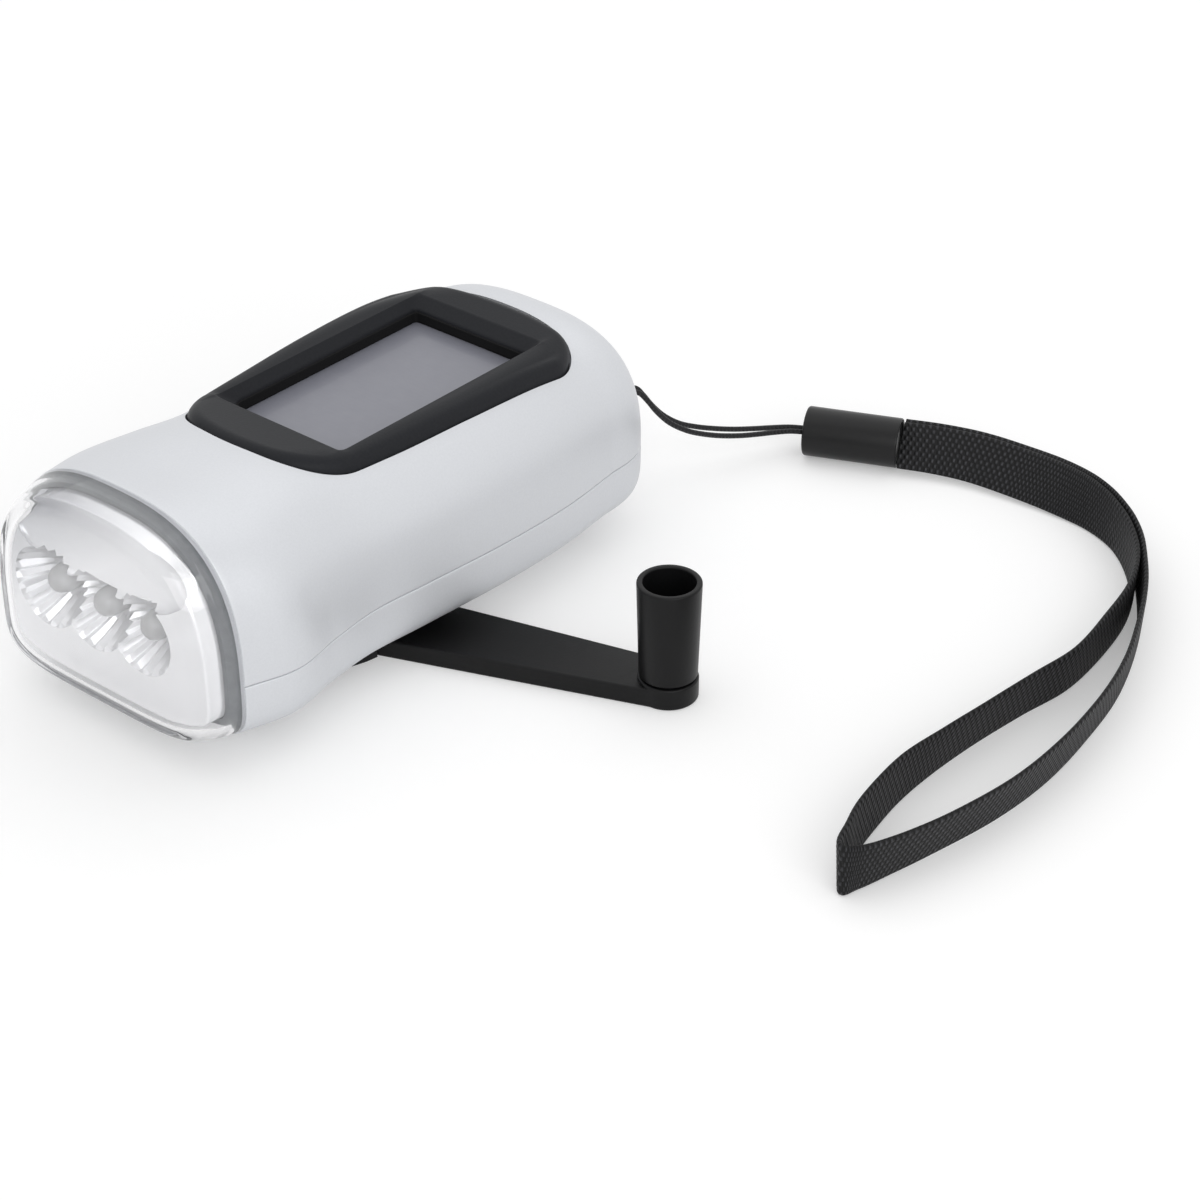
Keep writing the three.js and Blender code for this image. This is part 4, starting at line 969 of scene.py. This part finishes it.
# Places that the shells and the small pieces share
SCREW_PLACES = [(20, -28), (-20, -28), (19.5, 48), (-19.5, 48)]
SCREW_HEAD_LOW, SCREW_HEAD_TOP, SCREW_TIP = 5.2, 6.6, 25.0
SCREW_HEAD_RADIUS, SCREW_SHANK_RADIUS = 2.7, 1.25
SINK_MOUTH, SINK_RADIUS, SINK_TOP = 3.35, 3.0, 6.14
BOSS_BORE, BOSS_RADIUS, BOSS_LOW = 1.55, 3.5, 6.9
DISC_RADIUS, DISC_SEAT = 18.5, 5.8
HUB_BORE = 5.3
PLATE_RADIUS, PLATE_LOW, PLATE_HIGH = 21, 5.9, 8
EYELET_X, EYELET_Z = 13.0, 19.6
EYE_BORE, EYE_START, EYE_END = 2.3, 60.5, 72.5
SWITCH_Y, SWITCH_Z = -17.0, 24.0
SLOT_FRONT, SLOT_REAR, SLOT_HALF = -18.8, -12.2, 1.2


def upper_shell():
    side = -body_side(SWITCH_Y, SWITCH_Z)
    slot = block(
        side - OVERRUN, side + WALL + 2, SLOT_FRONT, SLOT_REAR, SWITCH_Z - SLOT_HALF, SWITCH_Z + SLOT_HALF
    )
    eye = cylinder(EYE_BORE, EYE_START, EYE_END, 48)
    shape = half_shell(True)
    for tool in (frame_seat(), slot, along_y(eye, EYELET_X, 0, EYELET_Z)):
        shape = combined(shape, tool, "DIFFERENCE")
    bosses = []
    turn = np.linspace(0, TURN, 24)
    for x, y in SCREW_PLACES:
        edge = x + BOSS_RADIUS * np.cos(turn), y + BOSS_RADIUS * np.sin(turn)
        roof = body_height(*edge, -WALL).min() + 0.4
        bosses.append(cylinder(BOSS_RADIUS, PART_HEIGHT + GAP / 2, roof, 32, x, y, BOSS_BORE))
    return joined(shape, *bosses)


def lower_shell():
    mouth, well = DISC_RADIUS + 1.1, DISC_RADIUS + 0.6
    recess = [(0, 0), (mouth, 0), (mouth, UNDERSIDE), (well, UNDERSIDE + 0.4)]
    recess += [(well, DISC_SEAT), (HUB_BORE, DISC_SEAT), (HUB_BORE, 9), (0, 9)]
    sink = [(0, 0), (SINK_MOUTH, 0), (SINK_MOUTH, UNDERSIDE)]
    sink += [(SINK_RADIUS, UNDERSIDE + 0.35), (SINK_RADIUS, SINK_TOP), (0, SINK_TOP)]
    sinks = [lathe(sink, x, y, 48, closed=False) for x, y in SCREW_PLACES]
    tools = joined(lathe(recess, sides=128, closed=False), *sinks)
    inside = [cylinder(PLATE_RADIUS, PLATE_LOW, PLATE_HIGH, 96, bore=HUB_BORE)]
    for x, y in SCREW_PLACES:
        inside.append(cylinder(BOSS_RADIUS, BOSS_LOW, PART_HEIGHT - GAP, 32, x, y, BOSS_BORE))
    return joined(combined(half_shell(False), tools, "DIFFERENCE"), *inside)


piece("painted_upper_shell", upper_shell(), silver, ["upper_shell"], 30)
piece("painted_lower_shell", lower_shell(), silver, ["lower_shell"], 30)
piece("moulded_window_frame", window_frame(), charcoal, ["window_frame"], 40)


def painted_shade_strip():
    """Thin black strip against the window's walls, between the frame and the panel: painted shade at their
    foot
    """
    low, high = PANEL_TOP + 0.1, WINDOW_HEIGHT - WINDOW_ROLL - 0.15
    outer, inner = window_edge(-0.05), window_edge(0.22)
    section = ((outer, low), (outer, high), (inner, high - 0.15), (inner, low), (outer, low))
    return skin([layer(plan, height) for plan, height in section], caps=False)


# A dark strip put in as painted shade at the foot of the window's walls
piece("rubber_window_gasket", painted_shade_strip(), shade_strip_black, ["window_frame"], 40)

# Lens end: clear cap, reflector with three faceted cups, diodes
CAP_DEPTH = 8.0
CAP_WALL = 1.5
CAP_REAR = JOINT_FACE - 0.12  # the joint shows as a fine line
CAP_DOME = 0.4
CAP_SHARES = [(0, 1), (0.3, 0.981), (0.55, 0.957), (0.8, 0.923), (0.93, 0.888), (0.985, 0.845), (1, 0.8)]
REFLECTOR_FACE = -44.7
CUP_ROW = 22.0
CUP_PLACES = [-13.5, -2.5, 8.5]
CUP_BACK = -35.7
CUP_WALL_FRONT, CUP_WALL_BACK = 8.0, 4.2
DIODE_RADIUS, FLANGE_RADIUS, DIODE_STEM = 2.5, 2.9, 6.6
CUP_STEPS = [  # radius and height of the hollow
    (7.3, -3), (7.3, 0), (7.0, 0.7), (6.6, 1.6), (6.0, 2.8), (5.2, 4.2), (4.3, 5.6), (3.6, 6.6), (3.0, 7.6),
    (3.0, 12),
]
BOWL_HALF_WIDTH = 19.2
BOWL_FORMS = [  # the bowl's wall and its hollow: distance behind the face, depth, height, half height
    ("UNION", 2.9, 1.9, 33.0, 6.6),
    ("DIFFERENCE", 0, 3.9, 32.8, 7.0),
]


def cap_ring(y, scale, inset, sides=144):
    """The joint's outline drawn in towards the middle of the face"""
    shrink = lambda height: FACE_CENTRE + (height - FACE_CENTRE) * scale
    middle = shrink(PART_HEIGHT)
    up_x, up_z = arch(sides // 2, UPPER_POWER, 1, 1)
    low_x, low_z = arch(sides // 2, LOWER_POWER, 1, 0.5)
    half = JOINT[1] * scale - inset
    x = np.append(half * up_x, -half * low_x[1:-1])
    z = np.append(
        middle + (shrink(JOINT[2]) - inset - middle) * up_z,
        middle - (middle - shrink(UNDERSIDE) - inset) * low_z[1:-1],
    )
    return np.stack([x, np.full(len(x), y), z], axis=1)


def cap_rings(inset, depth):
    """Rings from the rear edge, which slants inwards, to the middle of the domed face"""
    rear = CAP_REAR - inset
    shares = curve([(a, s, 0) for a, s in CAP_SHARES], 6)[:, :2]
    face = CAP_SHARES[-1][1]
    face_y = JOINT_FACE - GAP - depth
    rings = [cap_ring(rear + (face_y - rear) * along, scale, inset) for along, scale in shares]
    for share in (0.85, 0.65, 0.4, 0.15, 0.0):
        dome = CAP_DOME * (1 - share**2)
        ring = cap_ring(face_y - dome, face, inset)
        centre = np.array([0, ring[0, 1], FACE_CENTRE])
        rings.append(centre + (ring - centre) * share)
    return rings


def lens_cap():
    inner = cap_rings(CAP_WALL, CAP_DEPTH - CAP_WALL)
    return skin(inner[::-1] + cap_rings(0, CAP_DEPTH), caps=False)


def reflector():
    """Plate and skirt with a deep smooth bowl over a row of three faceted cups"""
    face = REFLECTOR_FACE
    rim = [(face, 3.7), (face + 0.1, 3.48), (face + 0.4, 3.4), (face + 2, 3.35), (JOINT_FACE + 0.2, 2.75)]
    rim += [(JOINT_FACE + 2, 2.75), (JOINT_FACE + 2, 3.6), (face + 3, 4.3)]
    plate = skin([cap_ring(y, 1, inset) for y, inset in rim])
    for number, x in enumerate(CUP_PLACES):
        low, high = 0.3 + 0.03 * number, 9 + 0.03 * number  # no two walls end in one plane
        corners = [(CUP_WALL_FRONT, low), (CUP_WALL_BACK, high), (0, high), (0, low)]
        wall = lathe(corners, sides=48, closed=False)
        plate = combined(plate, along_y(wall, x, face, CUP_ROW), "UNION")
    for x in CUP_PLACES:
        plate = combined(plate, along_y(faceted_cup(), x, face, CUP_ROW), "DIFFERENCE")
    bowl = lathe([(sin(t), -cos(t)) for t in np.linspace(0, pi, 40)], sides=128, closed=False)
    for operation, behind, deep, z, half in BOWL_FORMS:
        form = moved(bowl, lambda a, b, c: (BOWL_HALF_WIDTH * a, face + behind + deep * c, z + half * b))
        plate = combined(plate, form, operation)
    return plate


def faceted_cup(flutes=22, depth=0.06):
    """A cup's hollow: sharp flutes, which end at a height of 6 mm, round a bowl that narrows to the diode"""
    turn = np.arange(2 * flutes) * pi / flutes
    rings = []
    for radius, height in CUP_STEPS:
        deep = radius * (1 + (depth if 0 < height < 6 else 0) * (-1) ** np.arange(2 * flutes))
        rings.append(np.stack([deep * np.cos(turn), deep * np.sin(turn), 0 * turn + height], axis=1))
    return skin(rings)


def cap_band(*section):
    """A band behind the clear rim; its section's corners say how far in front of the joint, scale, inset"""
    return skin([cap_ring(JOINT_FACE - ahead, scale, inset) for ahead, scale, inset in section], caps=False)


def lens_lip():
    """Bright painted edge that shows through the slanted rear edge of the cap"""
    return cap_band((0.02, 1, 0.05), (0.14, 1, 0.05), (0.58, 1, 0.5), (0.02, 1, 0.5), (0.02, 1, 0.05))


def lens_seal():
    """Grey sealing ring behind the clear rim, just in front of the shells"""
    return cap_band(
        (0.02, 1, 0.54), (0.62, 1, 0.54), (1.58, 1, 1.52), (2, 0.986, 1.75), (2, 0.986, 2.7), (0.02, 1, 2.65),
        (0.02, 1, 0.54),
    )


def diode():
    """Flanged body of a 5 mm diode with a domed end, upright at the origin"""
    profile = [(0, 0), (FLANGE_RADIUS, 0), (FLANGE_RADIUS, 1), (DIODE_RADIUS, 1)]
    for turn in np.linspace(0, QUARTER, 12):
        profile.append((DIODE_RADIUS * cos(turn), DIODE_STEM + DIODE_RADIUS * sin(turn)))
    return lathe(profile, sides=40, closed=False)


piece("clear_lens_cap", lens_cap(), clear, ["lens_cap"], 60)
piece("metallised_reflector", reflector(), mirror, ["reflector"], 12)
piece("silicone_lens_seal", lens_seal(), silicone, ["lens_cap"])
piece("painted_lens_lip", lens_lip(), silver, ["lens_cap"])
for number, x in enumerate(CUP_PLACES, 1):
    rear = CUP_BACK + GAP + 1
    laid = moved(diode(), lambda a, b, c: (x + a, rear - c, CUP_ROW + b))
    piece(f"cast_diode_{number}", laid, epoxy, [f"led_{number}"])

# Crank: the disc, the folding arm and the hollow handle. The arm's own axes are u along it, v across.
ARM_ROOT, ARM_SHOULDER = -3.0, 17.0
ARM_TIP_HALF, ARM_ROOT_HALF = 4.9, 7.6
ARM_THICKNESS = 3.4
TIP_RADIUS, TIP_HEIGHT, TIP_FLOOR = 5.15, 4.0, 1.4
PIN_BORE = 2.1
HANDLE_LOW, HANDLE_FLOOR, HANDLE_TOP = 4.3, 6.9, 22.2
FOOT_RADIUS, FOOT_BORE = 4.95, 4.15
RIM_RADIUS, RIM_BORE = 5.45, 4.4
ARM_EDGE = 0.5
FOLD_BORE = 1.3
MOULDED_EDGE = 0.3
HUB = (cos(ARM_ANGLE), sin(ARM_ANGLE))


def at_arm(shape):
    """A shape in the arm's own axes turned to its place at rest"""
    return moved(shape, lambda u, v, z: (u * HUB[0] - v * HUB[1], u * HUB[1] + v * HUB[0], z))


def arm_section(u, half, low, high):
    corners = [(half, low), (half, high), (-half, high), (-half, low)]
    outline = rounded(corners, min(ARM_EDGE, (high - low) * 0.45), 4)
    return np.column_stack([np.full(len(outline), u), outline])


def crank_arm():
    """A bar with a barrel root and round edges, joined to the boss under the handle"""
    middle = ARM_THICKNESS / 2
    rings = []
    for turn in np.linspace(QUARTER, 0, 9):
        height = max(middle * cos(turn), 0.01)
        u = ARM_ROOT - middle * sin(turn)
        rings.append(arm_section(u, ARM_ROOT_HALF, middle - height, middle + height))
    for u in (ARM_SHOULDER, *np.linspace(ARM_SHOULDER + 3, ARM_REACH, 12)):
        half = np.interp(u, (ARM_SHOULDER, ARM_REACH), (ARM_ROOT_HALF, ARM_TIP_HALF))
        rings.append(arm_section(u, half, 0, ARM_THICKNESS))
    corners = [(0, 0), (TIP_RADIUS, 0), (TIP_RADIUS, TIP_HEIGHT)]
    corners += [(PIN_BORE, TIP_HEIGHT), (PIN_BORE, TIP_FLOOR), (0, TIP_FLOOR)]
    boss = rounded(corners, [0, 0.5, 0.4, 0.15, 0, 0], closed=False)
    shape = combined(skin(rings), lathe(boss, ARM_REACH, sides=96, closed=False), "UNION")
    pin = cylinder(FOLD_BORE, -ARM_ROOT_HALF - 1.4, ARM_ROOT_HALF + 1.4, 32)
    laid = moved(pin, lambda a, b, c: (ARM_ROOT + a, c, middle + b))
    return at_arm(combined(shape, laid, "DIFFERENCE"))


def handle():
    """Hollow upright grip, a little wider at its top: round rim, thin wall and a floor over the pin"""
    corners = [(PIN_BORE, HANDLE_LOW), (FOOT_RADIUS, HANDLE_LOW), (RIM_RADIUS, HANDLE_TOP)]
    corners += [(RIM_BORE, HANDLE_TOP), (FOOT_BORE, HANDLE_FLOOR), (PIN_BORE, HANDLE_FLOOR)]
    wall = rounded(corners, [0.1, 0.4, 0.4, 0.35, 0.5, 0.1])
    return lathe(wall, ARM_REACH * HUB[0], ARM_REACH * HUB[1], 120)


crank_disc = softened(cad_shape("crank_disc"), MOULDED_EDGE)
piece("moulded_crank_disc", crank_disc, black, ["crank_disc"])
piece("moulded_crank_arm", crank_arm(), black, ["crank_arm"])
piece("moulded_handle", handle(), black, ["handle"])


# Screws, and ribs on the switch, made once each and repeated by a node tree
SCREW_TURN = 1.5  # greatest turn of a screw about its axis, in radians
RIB_STEP = 0.75
SEED = 7


def repeat_tree():
    """Puts one unit at each point of the carrier, turned at random about Z where asked"""
    tree = bpy.data.node_groups.new("repeat_unit", "GeometryNodeTree")
    sockets = {
        "Places": "Geometry", "Unit": "Object", "Greatest turn": "Float", "Seed": "Int", "Finish": "Material",
    }
    for label, kind in sockets.items():
        tree.interface.new_socket(label, in_out="INPUT", socket_type=f"NodeSocket{kind}")
    tree.interface.new_socket("Pieces", in_out="OUTPUT", socket_type="NodeSocketGeometry")
    given = add(tree, "NodeGroupInput").outputs
    unit_form = add(tree, "GeometryNodeObjectInfo", {"Object": given["Unit"]}).outputs["Geometry"]
    chance = add(tree, "FunctionNodeRandomValue", {"Seed": given["Seed"]}, data_type="FLOAT")
    tree.links.new(given["Greatest turn"], chance.inputs[3])
    turn = add(tree, "ShaderNodeCombineXYZ", {"Z": chance.outputs[1]}).outputs["Vector"]
    points = add(tree, "GeometryNodeInstanceOnPoints", {
        "Points": given["Places"], "Instance": unit_form, "Rotation": turn,
    }).outputs["Instances"]
    real = add(tree, "GeometryNodeRealizeInstances", {"Geometry": points}).outputs["Geometry"]
    coated = add(tree, "GeometryNodeSetMaterial", {"Geometry": real, "Material": given["Finish"]})
    add(tree, "NodeGroupOutput", {"Pieces": coated.outputs["Geometry"]})
    return tree


def repeated(name, unit_shape, places, turn, finish, nodes):
    """One plain piece with a copy of the unit at each place"""
    single = plain_object("work_unit", unit_shape)
    carrier = plain_object("work_places", (np.array(places, float), []))
    modifier = carrier.modifiers.new("repeat", "NODES")
    modifier.node_group = repeater
    values = {"Unit": single, "Greatest turn": turn, "Seed": SEED, "Finish": finish}
    for socket in repeater.interface.items_tree:
        if socket.name in values:
            modifier[socket.identifier] = values[socket.name]
    item = linked(name, evaluated(carrier))
    bpy.data.objects.remove(carrier)
    bpy.data.objects.remove(single)
    return dress(item, finish, nodes)


repeater = repeat_tree()


def screw(head, head_low, head_top, shank, tip):
    """Pan-head screw with its head down and a cross recess in the head"""
    corners = [(0, head_low), (head, head_low), (head, head_top), (shank, head_top), (shank, tip), (0, tip)]
    shape = lathe(rounded(corners, [0, 0.35, 0.1, 0.1, 0.3, 0], closed=False), sides=40, closed=False)
    reach, half = head * 0.62, head / 12 + 0.1
    for x, y in ((reach, half), (half, reach)):
        shape = combined(shape, block(-x, x, -y, y, head_low - 0.5, head_low + 0.7), "DIFFERENCE")
    return shape


housing_screw = screw(SCREW_HEAD_RADIUS, SCREW_HEAD_LOW, SCREW_HEAD_TOP, SCREW_SHANK_RADIUS, SCREW_TIP)
repeated(
    "housing_screws", housing_screw, [(x, y, 0) for x, y in SCREW_PLACES], SCREW_TURN, steel,
    [f"housing_screw_{number}" for number in (1, 2, 3, 4)],
)

slider = softened(cad_shape("switch_slider"), MOULDED_EDGE)
piece("moulded_switch_slider", slider, black, ["switch_slider"])
knob_corner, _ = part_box("switch_slider")
rib_places = [(knob_corner[0] / MM, SWITCH_Y + RIB_STEP * step, SWITCH_Z) for step in range(-2, 3)]
rib = softened(block(-0.22, 0.3, -0.2, 0.2, -1.7, 1.7), 0.12)
repeated("switch_ribs", rib, rib_places, 0.0, black, ["switch_slider"])

# Eyelet and knot in the rear wall
EYELET_BORE, EYELET_RADIUS = 1.4, 2.0
EYELET_FRONT, EYELET_REAR = 61.9, 66.9
KNOT_Y, KNOT_DEPTH = 59.4, 0.75
KNOT_REACH, KNOT_SWING, KNOT_RADIUS = 1.05, 0.45, 0.55
eyelet_wall = rounded([
    (EYELET_BORE, EYELET_FRONT), (EYELET_RADIUS, EYELET_FRONT),
    (EYELET_RADIUS, EYELET_REAR), (EYELET_BORE, EYELET_REAR),
], [0.15, 0.15, 0.25, 0.25], 4)
eyelet = along_y(lathe(eyelet_wall, sides=48), EYELET_X, 0, EYELET_Z)
piece("pressed_eyelet", eyelet, steel, ["strap_eyelet"])


def overhand_knot():
    """The cords' knot behind the eyelet: a closed trefoil drawn tight"""
    turn = np.linspace(0, TURN, 121)
    reach = KNOT_REACH + KNOT_SWING * np.cos(3 * turn)
    path = np.stack([
        EYELET_X + reach * np.cos(2 * turn),
        KNOT_Y + KNOT_DEPTH * np.sin(3 * turn),
        EYELET_Z + reach * np.sin(2 * turn),
    ], axis=1)
    return tube(path, KNOT_RADIUS, 12)


piece("tied_knot", overhand_knot(), cord_black, ["strap_knot"])

# CAD nodes that keep their shape get their own finishes
KEPT = [
    (laminate, ("solar_panel",)),
    (board, ("led_board", "main_board")),
    (steel, ("cell_", "fold_pin", "handle_pin", "hub_screw", "idler_axle")),
    (steel, ("gear_plate", "plate_screw_", "generator_can", "rotor_shaft")),
    (black, ("switch_body", "generator_base")),
    (nylon, ("hub_bush", "crank_gear", "idler_gear", "rotor_pinion")),
    (copper, ("stator_coil",)),
    (ferrite, ("rotor_magnet",)),
]
for name, node in frame["nodes"].items():
    for finish, starts in KEPT:
        if name.startswith(starts):
            for slot in node.material_slots:
                slot.material = finish


# Stage: a pale floor that shows white to the camera and keeps the shadow, and soft lamps
WHITE = (1, 1, 1, 1)
FLOOR_GLOW = 0.26
FLOOR_REACH = 4000.0
ROOM_STRENGTH, BACKDROP_STRENGTH = 0.7, 1.0


def shown_rays(tree):
    """One for rays that show the background: from the camera, a gloss or a clear piece"""
    rays = add(tree, "ShaderNodeLightPath").outputs
    direct = maths(tree, "MAXIMUM", rays["Is Camera Ray"], rays["Is Glossy Ray"])
    return maths(tree, "MAXIMUM", direct, rays["Is Transmission Ray"])


def add_floor():
    finish = bpy.data.materials.new("white_paper_floor")
    tree = emptied(finish)
    paper = add(tree, "ShaderNodeBsdfDiffuse", {"Color": linear("#E6E6E6")})
    level = maths(tree, "MULTIPLY", shown_rays(tree), FLOOR_GLOW)
    glow = add(tree, "ShaderNodeEmission", {"Color": WHITE, "Strength": level})
    both = add(tree, "ShaderNodeAddShader", {0: paper.outputs["BSDF"], 1: glow.outputs["Emission"]})
    add(tree, "ShaderNodeOutputMaterial", {"Surface": both.outputs["Shader"]})
    corners = FLOOR_REACH * np.array([(-1, -1, 0), (1, -1, 0), (1, 1, 0), (-1, 1, 0)])
    floor = plain_object("floor", (corners, [(0, 1, 2, 3)]))
    floor.data.materials.append(finish)


def add_world():
    scene.world = bpy.data.worlds.new("studio")
    tree = emptied(scene.world)
    room, backdrop = (
        add(tree, "ShaderNodeBackground", {"Color": WHITE, "Strength": strength}).outputs["Background"]
        for strength in (ROOM_STRENGTH, BACKDROP_STRENGTH)
    )
    both = add(tree, "ShaderNodeMixShader", {0: shown_rays(tree), 1: room, 2: backdrop})
    add(tree, "ShaderNodeOutputWorld", {"Surface": both.outputs["Shader"]})


def add_softbox(name, place_at, size, watts, aim=(0.04, 0.03, 0.02)):
    lamp = bpy.data.lights.new(name, "AREA")
    lamp.shape = "RECTANGLE"
    lamp.size, lamp.size_y = size
    lamp.energy = watts
    item = linked(name, lamp)
    item.location = place_at
    item.rotation_euler = (Vector(aim) - item.location).to_track_quat("-Z", "Y").to_euler()


add_floor()
add_world()
add_softbox("overhead_softbox", (-0.35, 0.3, 1.1), (1.8, 1.5), 3.6)
add_softbox("front_fill", (1.0, -0.55, 0.65), (1.2, 0.8), 5.4)
scene.view_settings.view_transform = "Standard"
